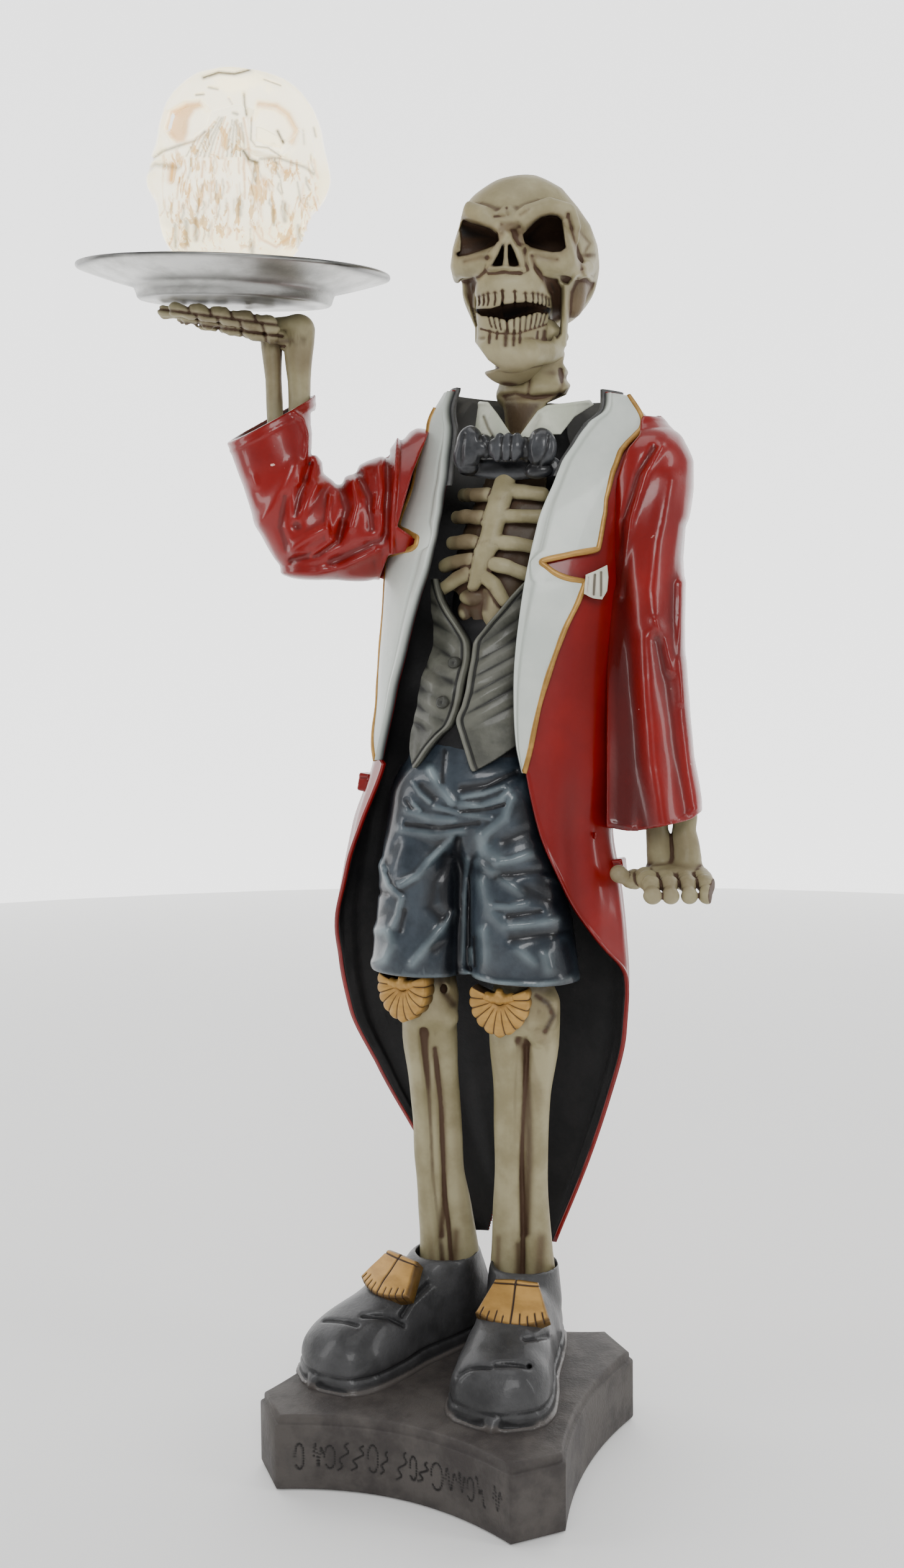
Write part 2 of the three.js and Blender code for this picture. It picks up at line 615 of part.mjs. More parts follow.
function skull(gape, dome, lift, sides) {
  const drop = JAW_HINGE + lift - gape;
  const moved = (z) => {
    if (z > BROW) return BROW + (z - BROW) * dome;
    return z + lift * Math.min(1, (BROW - z) / FACE_FADE);
  };
  const at = (x, y, z) => V(x, y, z + lift);
  const cranium = loft(SKULL.map(([z, ...reach]) => skullRing([moved(z), ...reach], sides)));
  const jaw = loft(JAW.map(([z, y, rx, ry]) => level(0, y, drop + z, rx, ry, 10)));
  const cheek = (s) => tube([at(s * 20, -51, -23), at(s * 38, -41, -21), at(s * 47, -14, -18)], [[4, 6], [4, 7], [3, 6]], 6);
  const branch = (s) => tube(
    [V(s * 26, -30, drop - 8), V(s * 35, -12, drop), at(s * 43, -4, -22)], [[6, 9], [6, 11], [5, 12]], 5);
  const socket = (s) => blob(s * 25, -59, lift - 5, 15, 21, 13, [0, s * -10, s * 8], 1);
  const nose = blob(0, -58, lift - 22, 9, 13, 13, [0, 0, 0], 0);
  const holes = [socket(-1), socket(1), nose];
  const whole = join([cranium, jaw, cheek(-1), cheek(1), branch(-1), branch(1)]);
  const cut = holes.reduce((rest, hole) => rest.subtract(hole), whole);
  return join([cut, teeth(lift - 51, -27), teeth(drop + 3.5, -26)]);
}

function placed(body, matrix) {
  const geometry = geometryOf(body);
  geometry.applyMatrix4(matrix);
  return solid(geometry);
}

// The frame of the tray: its middle is the middle of the tray's foot, and it leans to the front and to one side.
function trayMatrix() {
  const front = V(Math.sin(VIEW_SIDE * RAD), -Math.cos(VIEW_SIDE * RAD), 0);
  const side = V(Math.cos(VIEW_SIDE * RAD), Math.sin(VIEW_SIDE * RAD), 0);
  const up = V(0, 0, 1)
    .addScaledVector(front, Math.tan(TRAY.tiltToFront * RAD))
    .addScaledVector(side, Math.tan(TRAY.tiltToSide * RAD)).normalize();
  const turn = new THREE.Matrix4().makeRotationFromQuaternion(new THREE.Quaternion().setFromUnitVectors(V(0, 0, 1), up));
  return turn.setPosition(TRAY.x, TRAY.y, TRAY.foot);
}

function tray() {
  const profile = [
    [0, 0], [70, 0], [73, 8], [77, 10], [TRAY.radius, TRAY.height - 1],
    [TRAY.radius - 1, TRAY.height + 1.5], [108, TRAY.height], [76, 13], [66, TRAY.floor], [0, TRAY.floor],
  ].map(([r, z]) => new THREE.Vector2(r, z));
  const geometry = new THREE.LatheGeometry(profile, 30);
  geometry.rotateX(90 * RAD);
  return placed(outwardLathe(geometry), trayMatrix());
}

function outwardLathe(geometry) {
  geometry.deleteAttribute('normal');
  geometry.deleteAttribute('uv');
  return outward(mergeVertices(geometry, 1e-4));
}

function figure() {
  const head = skull(11, 0.9, 0, 16);
  const headMatrix = new THREE.Matrix4().makeRotationZ(HEAD.yaw * RAD)
    .multiply(new THREE.Matrix4().makeRotationY(HEAD.tilt * RAD)).setPosition(HEAD.x, HEAD.y, HEAD.z);
  const parts = [
    plinth(),
    shoe(-29, 60, -24), shoe(35, 60, 10),
    buckle(-47, 8, 110, -24), buckle(48, 4, 106, 10),
    shin(RIGHT_SHIN), shin(LEFT_SHIN),
    tube([V(-36, 46, 298), V(-36, 46, 316), V(-36, 46, 345)], [[14, 12], [21, 18], [20, 16]], 8, V(0, 1, 0)),
    tube([V(39, 46, 296), V(40, 46, 314), V(40, 46, 345)], [[16, 12], [24, 18], [22, 16]], 8, V(0, 1, 0)),
    shell(-44, 26, 313, 25, 27, -8), shell(31, 26, 308, 26, 27, 6),
    shorts(), trunk(), ribcage(), vest(),
    coatBody(), leftSleeve(), rightSleeve(), trimmings(),
    forearm([V(-137, 4, 803), V(-134, 6, 690)], [V(-118, 8, 802), V(-120, 10, 690)], 6, 8),
    forearm([V(138, 60, 412), V(136, 64, 470)], [V(156, 66, 412), V(150, 68, 470)], 9, 9),
    rightHand(), leftHand(), neck(), neckwear(),
    placed(head, headMatrix),
  ];
  return largest(join(parts));
}

function clearSkull() {
  const s = CLEAR_SKULL_SCALE;
  const body = skull(0, 1, 14, 16);
  const matrix = trayMatrix()
    .multiply(new THREE.Matrix4().makeTranslation(3, 7, TRAY.floor + TOUCH_GAP))
    .multiply(new THREE.Matrix4().makeRotationZ(20 * RAD))
    .multiply(new THREE.Matrix4().makeScale(s, s, s * CLEAR_SKULL_SQUASH))
    .multiply(new THREE.Matrix4().makeTranslation(0, 0, 70.5));
  const floor = new THREE.BoxGeometry(300, 300, 60);
  floor.translate(0, 0, TRAY.floor + TOUCH_GAP - 30).applyMatrix4(trayMatrix());
  return placed(body, matrix).subtract(solid(floor));
}

function node(name, body, color, roughness, metalness) {
  const mesh = new THREE.Mesh(geometryOf(body), new THREE.MeshStandardMaterial({ color, roughness, metalness }));
  mesh.name = name;
  return mesh;
}

const butler = new THREE.Group();
butler.add(node('butler_figure', figure(), '#a8271c', 0.35, 0));
butler.add(node('serving_tray', tray(), '#b9b8b2', 0.32, 0.8));
butler.add(node('clear_skull', clearSkull(), '#f4e3b0', 0.05, 0));

export default butler;
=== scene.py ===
"""Skeleton butler figure: fine meshes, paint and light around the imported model.

Numbers are millimetres in the frame of the model, and degrees, unless a name says otherwise.
"""

import math

import bpy
import numpy as np
import openvdb
from mathutils import Matrix, Vector


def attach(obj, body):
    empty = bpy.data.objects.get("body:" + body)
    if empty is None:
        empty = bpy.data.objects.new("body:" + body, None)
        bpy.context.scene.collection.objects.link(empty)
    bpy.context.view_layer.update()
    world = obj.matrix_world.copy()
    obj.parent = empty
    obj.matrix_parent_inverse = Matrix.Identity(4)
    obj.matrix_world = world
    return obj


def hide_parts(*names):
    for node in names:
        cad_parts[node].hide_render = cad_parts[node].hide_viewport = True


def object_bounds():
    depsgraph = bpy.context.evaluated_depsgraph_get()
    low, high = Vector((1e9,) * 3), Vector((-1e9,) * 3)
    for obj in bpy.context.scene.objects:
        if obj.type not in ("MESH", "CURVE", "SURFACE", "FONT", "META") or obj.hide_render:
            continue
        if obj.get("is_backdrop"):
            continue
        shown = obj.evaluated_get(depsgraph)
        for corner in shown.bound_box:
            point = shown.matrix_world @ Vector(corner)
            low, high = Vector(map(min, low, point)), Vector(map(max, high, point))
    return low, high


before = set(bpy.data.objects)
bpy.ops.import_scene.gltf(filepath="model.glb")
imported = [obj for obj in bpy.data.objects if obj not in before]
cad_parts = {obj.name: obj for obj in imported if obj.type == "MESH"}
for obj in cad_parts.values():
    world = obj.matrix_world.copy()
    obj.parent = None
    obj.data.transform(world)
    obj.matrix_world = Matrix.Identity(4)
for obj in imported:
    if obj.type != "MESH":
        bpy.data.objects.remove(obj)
CAD_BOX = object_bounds()

MM = 0.001
FAR = 20.0


# Small helpers

def vec(*values):
    return np.array(values, float)


def unit(v):
    v = np.array(v, float)
    return v / np.linalg.norm(v)


def mix(a, b, share):
    return a + (b - a) * share


def ramp(value, low, high):
    """0 below low, 1 above high, and smooth between them."""
    t = np.clip((value - low) / (high - low), 0, 1)
    return t * t * (3 - 2 * t)


def turned(x=0, y=0, z=0):
    """A 3 x 3 turn by degrees about X, then Y, then Z."""
    m = Matrix.Rotation(math.radians(z), 3, "Z")
    m = m @ Matrix.Rotation(math.radians(y), 3, "Y")
    return np.array(m @ Matrix.Rotation(math.radians(x), 3, "X"))


def spline(xs, ys, x):
    """A smooth curve through rows of numbers that never swings past them."""
    xs = np.array(xs, float)
    ys = np.array(ys, float)
    if ys.ndim == 1:
        return spline(xs, ys[:, None], x)[..., 0]
    step = np.diff(xs)
    slope = np.diff(ys, axis=0) / step[:, None]
    tangent = np.zeros_like(ys)
    tangent[0], tangent[-1] = slope[0], slope[-1]
    before, after = slope[:-1], slope[1:]
    same = before * after > 0
    w1 = (2 * step[1:] + step[:-1])[:, None]
    w2 = (step[1:] + 2 * step[:-1])[:, None]
    safe = lambda v: np.where(same, v, 1.0)
    tangent[1:-1] = np.where(same, (w1 + w2) / (w1 / safe(before) + w2 / safe(after)), 0)
    x = np.clip(np.asarray(x, float), xs[0], xs[-1])
    i = np.clip(np.searchsorted(xs, x) - 1, 0, len(xs) - 2)
    h = step[i]
    t = (x - xs[i]) / h
    h, t = h[..., None], t[..., None]
    return ((2 * t**3 - 3 * t**2 + 1) * ys[i] + (t**3 - 2 * t**2 + t) * h * tangent[i]
            + (3 * t**2 - 2 * t**3) * ys[i + 1] + (t**3 - t**2) * h * tangent[i + 1])


def through(points, count):
    """`count` evenly spaced points on a smooth curve through a few points."""
    points = np.array(points, float)
    length = np.concatenate([[0], np.cumsum(np.linalg.norm(np.diff(points, axis=0), axis=1))])
    fine = spline(length, points, np.linspace(0, length[-1], count * 4))
    far = np.concatenate([[0], np.cumsum(np.linalg.norm(np.diff(fine, axis=0), axis=1))])
    even = np.linspace(0, far[-1], count)
    return np.stack([np.interp(even, far, fine[:, k]) for k in range(points.shape[1])], axis=1)


def lumps(x, y, z, size, seed):
    """Smooth unevenness from -1 to 1 with features about `size` across."""
    random = np.random.default_rng(seed)
    total = 0
    waves = 6
    for _ in range(waves):
        direction = unit(random.normal(size=3)) * (2 * math.pi / (size * random.uniform(1.4, 2.8)))
        along = direction[0] * x + direction[1] * y + direction[2] * z
        total = total + np.sin(along + random.uniform(0, 6.28))
    return total / math.sqrt(waves * 2)


# Shapes as distances: each is its lowest corner, its highest corner and a function of x, y and z

def local(x, y, z, centre, turn):
    x, y, z = x - centre[0], y - centre[1], z - centre[2]
    if turn is None:
        return x, y, z
    return tuple(turn[0][k] * x + turn[1][k] * y + turn[2][k] * z for k in range(3))


def ball(centre, radii, turn=None):
    centre = np.array(centre, float)
    radii = np.ones(3) * radii
    reach = radii if turn is None else radii.max()

    def distance(x, y, z):
        p = local(x, y, z, centre, turn)
        near = np.sqrt(sum((p[k] / radii[k]) ** 2 for k in range(3)))
        steep = np.sqrt(sum((p[k] / radii[k] ** 2) ** 2 for k in range(3)))
        return near * (near - 1) / np.maximum(steep, 1e-4)

    return centre - reach, centre + reach, distance


def slab(centre, half, turn=None, rounding=1.0):
    centre = np.array(centre, float)
    half = np.array(half, float)
    reach = half if turn is None else np.linalg.norm(half)

    def distance(x, y, z):
        p = local(x, y, z, centre, turn)
        q = [np.abs(p[k]) - (half[k] - rounding) for k in range(3)]
        outside = np.sqrt(sum(np.maximum(v, 0) ** 2 for v in q))
        return outside + np.minimum(np.maximum(np.maximum(q[0], q[1]), q[2]), 0) - rounding

    return centre - reach, centre + reach, distance


def limb(points, radii, wide=None, stretch=1.0):
    """A round bar through points. Along the direction `wide` its section is `stretch` times as broad."""
    points = np.array(points, float)
    count = len(points)
    radii = np.ones(count) * radii
    stretch = np.ones(count) * stretch
    reach = (radii * np.maximum(stretch, 1)).max()
    wide = None if wide is None else unit(wide)

    def segment(x, y, z, i):
        a, b = points[i], points[i + 1]
        along = b - a
        dx, dy, dz = x - a[0], y - a[1], z - a[2]
        t = np.clip((dx * along[0] + dy * along[1] + dz * along[2]) / max(along @ along, 1e-9), 0, 1)
        dx, dy, dz = dx - t * along[0], dy - t * along[1], dz - t * along[2]
        square = dx**2 + dy**2 + dz**2
        if wide is not None:
            q = dx * wide[0] + dy * wide[1] + dz * wide[2]
            s = mix(stretch[i], stretch[i + 1], t)
            square = np.maximum(square - q**2 + (q / s) ** 2, 0)
        return np.sqrt(square) - mix(radii[i], radii[i + 1], t)

    def distance(x, y, z):
        best = segment(x, y, z, 0)
        for i in range(1, count - 1):
            best = np.minimum(best, segment(x, y, z, i))
        return best

    return points.min(0) - reach, points.max(0) + reach, distance


def mirrored(build):
    """The same shape on both sides of x = 0."""
    return [build(-1), build(1)]


class Clay:
    """A block of distances in millimetres, negative inside, that shapes are added to and cut from."""

    def __init__(self, low, high, voxel):
        self.low = np.array(low, float)
        self.voxel = voxel
        self.size = np.ceil((np.array(high, float) - self.low) / voxel).astype(int) + 1
        self.field = np.full(self.size, FAR, np.float32)

    def window(self, low, high):
        start = np.floor((np.array(low) - self.low) / self.voxel).astype(int)
        stop = np.ceil((np.array(high) - self.low) / self.voxel).astype(int) + 1
        start = np.clip(start, 0, self.size - 2)
        stop = np.maximum(np.clip(stop, 0, self.size), start + 1)
        slices = tuple(slice(a, b) for a, b in zip(start, stop))
        axes = [(self.low[i] + self.voxel * np.arange(start[i],
                                                      stop[i])).astype(np.float32) for i in range(3)]
        return slices, np.meshgrid(*axes, indexing="ij", sparse=True)

    def blend(self, shape, soft, sign):
        low, high, distance = shape
        pad = soft + 3 * self.voxel
        slices, grid = self.window(low - pad, high + pad)
        old = sign * self.field[slices]
        new = distance(*grid).astype(np.float32)
        step = np.maximum(soft - np.abs(old - new), 0) / max(soft, 1e-6)
        self.field[slices] = sign * (np.minimum(old, new) - step**2 * soft / 4)

    def add(self, *shapes, soft=2.0):
        for shape in shapes:
            self.blend(shape, soft, 1)

    def cut(self, *shapes, soft=1.0):
        for shape in shapes:
            self.blend(shape, soft, -1)

    def press(self, depth):
        """Pushes the whole surface in by depth(x, y, z)."""
        _, grid = self.window(self.low, self.low + self.size * self.voxel)
        self.field += np.asarray(depth(*grid), np.float32)

    def draw(self, sketch, band=9.0):
        """Presses and raises the surface where a sketch says so."""
        cells = np.nonzero(np.abs(self.field) < band)
        points = self.low + np.stack(cells, 1) * self.voxel
        self.field[cells] += sketch.relief(*points.T).astype(np.float32)

    def sample(self, field, points):
        q = np.clip((points - self.low) / self.voxel, 0, self.size - 1.001)
        base = q.astype(int)
        share = q - base
        total = 0
        for corner in np.ndindex(2, 2, 2):
            weight = np.prod(np.where(corner, share, 1 - share), axis=1)
            i, j, k = (base + corner).T
            total = total + weight * field[i, j, k]
        return total

    def spread(self, reach):
        """The distances averaged over a cube of about `reach` millimetres each way."""
        soft = np.clip(self.field, -reach, reach)
        half = max(1, int(round(reach / self.voxel / 2)))
        for _ in range(2):
            for axis in range(3):
                total = np.cumsum(np.pad(soft, [(half + 1,
                                                 half) if a == axis else (0, 0) for a in range(3)],
                                         mode="edge"), axis=axis, dtype=np.float64)
                count = soft.shape[axis]
                upper = np.take(total, np.arange(2 * half + 1, 2 * half + 1 + count), axis=axis)
                lower = np.take(total, np.arange(0, count), axis=axis)
                soft = ((upper - lower) / (2 * half + 1)).astype(np.float32)
        return soft

    def skin(self, place=None, fine=1.6, broad=6.0):
        """The surface as a Skin, with `crease` and `hollow` from 0 on the flat to 1 deep down."""
        grid = openvdb.FloatGrid(FAR)
        grid.copyFromArray(self.field)
        points, _, quads = grid.convertToPolygons(isovalue=0.0, adaptivity=0.0)
        points = self.low + np.asarray(points, float) * self.voxel
        marks = {
            "crease": np.clip(-self.sample(self.spread(fine), points) / (fine * 0.30), -1, 1),
            "hollow": np.clip(-self.sample(self.spread(broad), points) / (broad * 0.35), -1, 1),
        }
        skin = Skin(points, [np.asarray(quads)], marks)
        skin.face_out()
        return skin if place is None else skin.moved(place)


# Meshes as points, faces and marks

class Skin:
    """Points, groups of faces of one size, and named values for each point."""

    def __init__(self, points, faces, marks=None):
        self.points = np.array(points, float).reshape(-1, 3)
        self.faces = [np.array(group, int) for group in faces if len(group)]
        self.marks = dict(marks or {})

    def face_out(self):
        volume = 0
        for group in self.faces:
            corner = self.points[group]
            for k in range(1, group.shape[1] - 1):
                volume += np.einsum("ij,ij->", corner[:, 0], np.cross(corner[:, k], corner[:, k + 1]))
        if volume < 0:
            self.faces = [group[:, ::-1] for group in self.faces]
        return self

    def moved(self, place):
        place = np.array(place, float)
        self.points = self.points @ place[:3, :3].T + place[:3, 3]
        return self

    def marked(self, **marks):
        for name, value in marks.items():
            self.marks[name] = np.ones(len(self.points)) * value
        return self

    def __add__(self, other):
        shift = len(self.points)
        names = set(self.marks) | set(other.marks)
        marks = {}
        for name in names:
            marks[name] = np.concatenate([
                part.marks.get(name, np.zeros(len(part.points))) for part in (self, other)])
        faces = self.faces + [group + shift for group in other.faces]
        return Skin(np.concatenate([self.points, other.points]), faces, marks)


def joined(skins):
    whole = skins[0]
    for skin in skins[1:]:
        whole = whole + skin
    return whole


def grid_faces(rows, cols, closed=False):
    r, c = np.meshgrid(np.arange(rows - 1), np.arange(cols if closed else cols - 1), indexing="ij")
    a = (r * cols + c).ravel()
    b = (r * cols + (c + 1) % cols).ravel()
    return np.stack([a, b, b + cols, a + cols], axis=1)


def shell_of(outer, inner, outer_marks=None, inner_marks=None):
    """A closed sheet between two grids of points. Marks are grids of values for each side."""
    outer = np.array(outer, float)
    inner = np.array(inner, float)
    rows, cols = outer.shape[:2]
    back = rows * cols
    index = np.arange(back).reshape(rows, cols)
    rim = np.concatenate([index[0], index[1:, -1], index[-1, :-1][::-1], index[1:-1, 0][::-1]])
    after = np.roll(rim, -1)
    front = grid_faces(rows, cols)
    faces = [np.concatenate([front, front[:, ::-1] + back,
                             np.stack([after, rim, rim + back, after + back], 1)])]
    marks = {}
    for name in set(outer_marks or {}) | set(inner_marks or {}):
        sides = [np.zeros((rows, cols)) + (side or {}).get(name, 0) for side in (outer_marks, inner_marks)]
        marks[name] = np.concatenate([side.ravel() for side in sides])
    skin = Skin(np.concatenate([outer.reshape(-1, 3), inner.reshape(-1, 3)]), faces, marks)
    return skin.face_out()


def pipe(points, radii, sides=12, up=(0, 0, 1), flat=1.0):
    """A closed round bar along points; its section is `flat` times as high as wide."""
    points = np.array(points, float)
    count = len(points)
    radii = np.ones(count) * radii
    along = np.gradient(points, axis=0)
    along /= np.linalg.norm(along, axis=1)[:, None]
    side = np.cross(along, np.array(up, float))
    side /= np.maximum(np.linalg.norm(side, axis=1), 1e-6)[:, None]
    top = np.cross(side, along)
    a = np.linspace(0, 2 * math.pi, sides, endpoint=False)
    ring = (points[:, None] + side[:, None] * (np.cos(a)[None, :, None] * radii[:, None, None])
            + top[:, None] * (np.sin(a)[None, :, None] * radii[:, None, None] * flat))
    nodes = np.concatenate([ring.reshape(-1, 3), points[:1], points[-1:]])
    base = (count - 1) * sides
    k = np.arange(sides)
    start = np.stack([np.full(sides, count * sides), (k + 1) % sides, k], 1)
    end = np.stack([np.full(sides, count * sides + 1), base + k, base + (k + 1) % sides], 1)
    return Skin(nodes, [grid_faces(count, sides, True), start, end]).face_out()


def stack_of(rings, cap=True):
    """A closed body over a stack of rings that all have the same number of points."""
    rings = np.array(rings, float)
    rows, cols = rings.shape[:2]
    nodes = np.concatenate([rings.reshape(-1, 3), rings[:1].mean(1), rings[-1:].mean(1)])
    faces = [grid_faces(rows, cols, True)]
    if cap:
        k = np.arange(cols)
        base = (rows - 1) * cols
        faces.append(np.stack([np.full(cols, rows * cols), (k + 1) % cols, k], 1))
        faces.append(np.stack([np.full(cols, rows * cols + 1), base + k, base + (k + 1) % cols], 1))
    return Skin(nodes, faces).face_out()


# The most triangles each piece may keep, under a million in all

TRIANGLES = {"skull": 125000, "coat": 60000, "lapel_piping": 22000, "sleeve_right": 60000,
             "sleeve_left": 48000,
             "hand_right": 40000, "hand_left": 36000, "shorts": 60000, "leg_bones": 40000,
             "knee_shells": 40000,
             "shoe_buckles": 24000, "shoes": 60000, "ribs": 42000, "neck": 24000, "waistcoat_left": 32000,
             "waistcoat_right": 32000, "bow_tie": 20000, "tray": 32000, "clear_skull_cast": 80000}
OTHER_TRIANGLES = 9000


def thinned(thing, wanted):
    """Collapses the flattest parts of a piece's mesh until it has the wanted number of triangles."""
    mesh = thing.data
    count = len(mesh.loops) - 2 * len(mesh.polygons)
    if count <= wanted:
        return
    step = thing.modifiers.new("thin", "DECIMATE")
    step.ratio = wanted / count
    seen_by = bpy.context.evaluated_depsgraph_get()
    light = bpy.data.meshes.new_from_object(thing.evaluated_get(seen_by), preserve_all_data_layers=True,
                                            depsgraph=seen_by)
    thing.modifiers.clear()
    thing.data = light
    light.name = thing.name
    bpy.data.meshes.remove(mesh)


def piece(name, skin, material, node, smooth=True):
    """Makes a visible piece from a skin, which stands for part of a node of the model."""
    mesh = bpy.data.meshes.new(name)
    mesh.vertices.add(len(skin.points))
    mesh.vertices.foreach_set("co", (skin.points * MM).astype(np.float32).ravel())
    corners = np.concatenate([group.ravel() for group in skin.faces])
    sizes = np.concatenate([np.full(len(group), group.shape[1]) for group in skin.faces])
    mesh.loops.add(len(corners))
    mesh.loops.foreach_set("vertex_index", corners.astype(np.int32))
    mesh.polygons.add(len(sizes))
    mesh.polygons.foreach_set("loop_start", np.concatenate([[0], np.cumsum(sizes)[:-1]]).astype(np.int32))
    mesh.update(calc_edges=True)
    for mark, values in skin.marks.items():
        attribute = mesh.attributes.new(mark, "FLOAT", "POINT")
        attribute.data.foreach_set("value", np.asarray(values, np.float32))
    mesh.polygons.foreach_set("use_smooth", np.full(len(sizes), smooth))
    mesh.materials.append(material)
    thing = bpy.data.objects.new(name, mesh)
    bpy.context.scene.collection.objects.link(thing)
    thinned(thing, TRIANGLES.get(name, OTHER_TRIANGLES))
    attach(thing, "root")
    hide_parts(node)
    return thing


def figure_piece(name, skin, material, smooth=True):
    return piece(name, skin, material, "butler_figure", smooth)


# Camera, floor and light

CAMERA_AT = (0.39242, -0.90889, 0.5258)
CAMERA_AZIMUTH = 23.09
CAMERA_PITCH = 2.98
CAMERA_ROLL = -0.59
CAMERA_LENS = 32.26
FLOOR_SIZE = 12.0
BACKDROP_AWAY = 3.2
BACKDROP_TALL = 5.0
BACKDROP_GLOW = 1.6


def make_camera():
    azimuth, pitch, roll = (math.radians(v) for v in (CAMERA_AZIMUTH, CAMERA_PITCH, CAMERA_ROLL))
    right = Vector((math.cos(azimuth), math.sin(azimuth), 0))
    look = Vector((-math.sin(azimuth) * math.cos(pitch), math.cos(azimuth) * math.cos(pitch),
                   -math.sin(pitch)))
    up = right.cross(look)
    side = right * math.cos(roll) + up * math.sin(roll)
    top = up * math.cos(roll) - right * math.sin(roll)
    data = bpy.data.cameras.new("camera")
    data.lens = CAMERA_LENS
    data.sensor_width = 36
    data.sensor_fit = "AUTO"
    camera = bpy.data.objects.new("camera", data)
    matrix = Matrix((side, top, -look)).transposed().to_4x4()
    matrix.translation = CAMERA_AT
    camera.matrix_world = matrix
    bpy.context.scene.collection.objects.link(camera)
    bpy.context.scene.camera = camera


def area_light(name, at, aim, size, power, colour=(1, 1, 1)):
    data = bpy.data.lights.new(name, "AREA")
    data.shape = "RECTANGLE"
    data.size, data.size_y = size
    data.energy = power
    data.color = colour
    light = bpy.data.objects.new(name, data)
    light.location = at
    light.rotation_euler = (Vector(aim) - Vector(at)).to_track_quat("-Z", "Y").to_euler()
    bpy.context.scene.collection.objects.link(light)


def make_studio():
    world = bpy.data.worlds.new("studio")
    world.use_nodes = True
    background = world.node_tree.nodes["Background"]
    background.inputs["Color"].default_value = (1.0, 1.0, 1.0, 1)
    background.inputs["Strength"].default_value = 0.38
    bpy.context.scene.world = world
    middle = (0, 0, 0.55)
    area_light("front_window", (0.9, -2.0, 1.5), middle, (1.1, 0.9), 26)
    area_light("left_window", (-1.7, -0.9, 1.1), middle, (0.4, 1.5), 10)
    area_light("right_window", (1.9, 0.1, 1.0), middle, (0.3, 1.5), 9)
    area_light("top_panel", (0.1, -0.3, 2.4), middle, (1.2, 1.2), 10)
    half = FLOOR_SIZE / 2
    mesh = bpy.data.meshes.new("floor")
    corners = [(-half, -half, -0.0008), (half, -half, -0.0008), (half, half, -0.0008),
               (-half, half, -0.0008)]
    mesh.from_pydata(corners, [], [(0, 1, 2, 3)])
    mesh.materials.append(floor_material())
    floor = bpy.data.objects.new("floor", mesh)
    bpy.context.scene.collection.objects.link(floor)
    floor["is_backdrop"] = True
    make_backdrop()


def make_backdrop():
    """A plain pale wall that curves round behind the figure and glows softly."""
    across = np.radians(np.linspace(-70, 70, 29)) + math.radians(CAMERA_AZIMUTH)
    ring = np.stack([-np.sin(across) * BACKDROP_AWAY, np.cos(across) * BACKDROP_AWAY], 1)
    points = [(x, y, z) for z in (-0.001, BACKDROP_TALL) for x, y in ring]
    n = len(ring)
    mesh = bpy.data.meshes.new("backdrop")
    mesh.from_pydata(points, [], [(i, i + 1, n + i + 1, n + i) for i in range(n - 1)])
    material = bpy.data.materials.new("backdrop_paper")
    material.use_nodes = True
    shader = material.node_tree.nodes["Principled BSDF"]
    shader.inputs["Base Color"].default_value = (0.9, 0.9, 0.9, 1)
    shader.inputs["Roughness"].default_value = 0.9
    shader.inputs["Emission Color"].default_value = (1, 1, 1, 1)
    shader.inputs["Emission Strength"].default_value = BACKDROP_GLOW
    mesh.materials.append(material)
    wall = bpy.data.objects.new("backdrop", mesh)
    bpy.context.scene.collection.objects.link(wall)
    wall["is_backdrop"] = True


# Materials

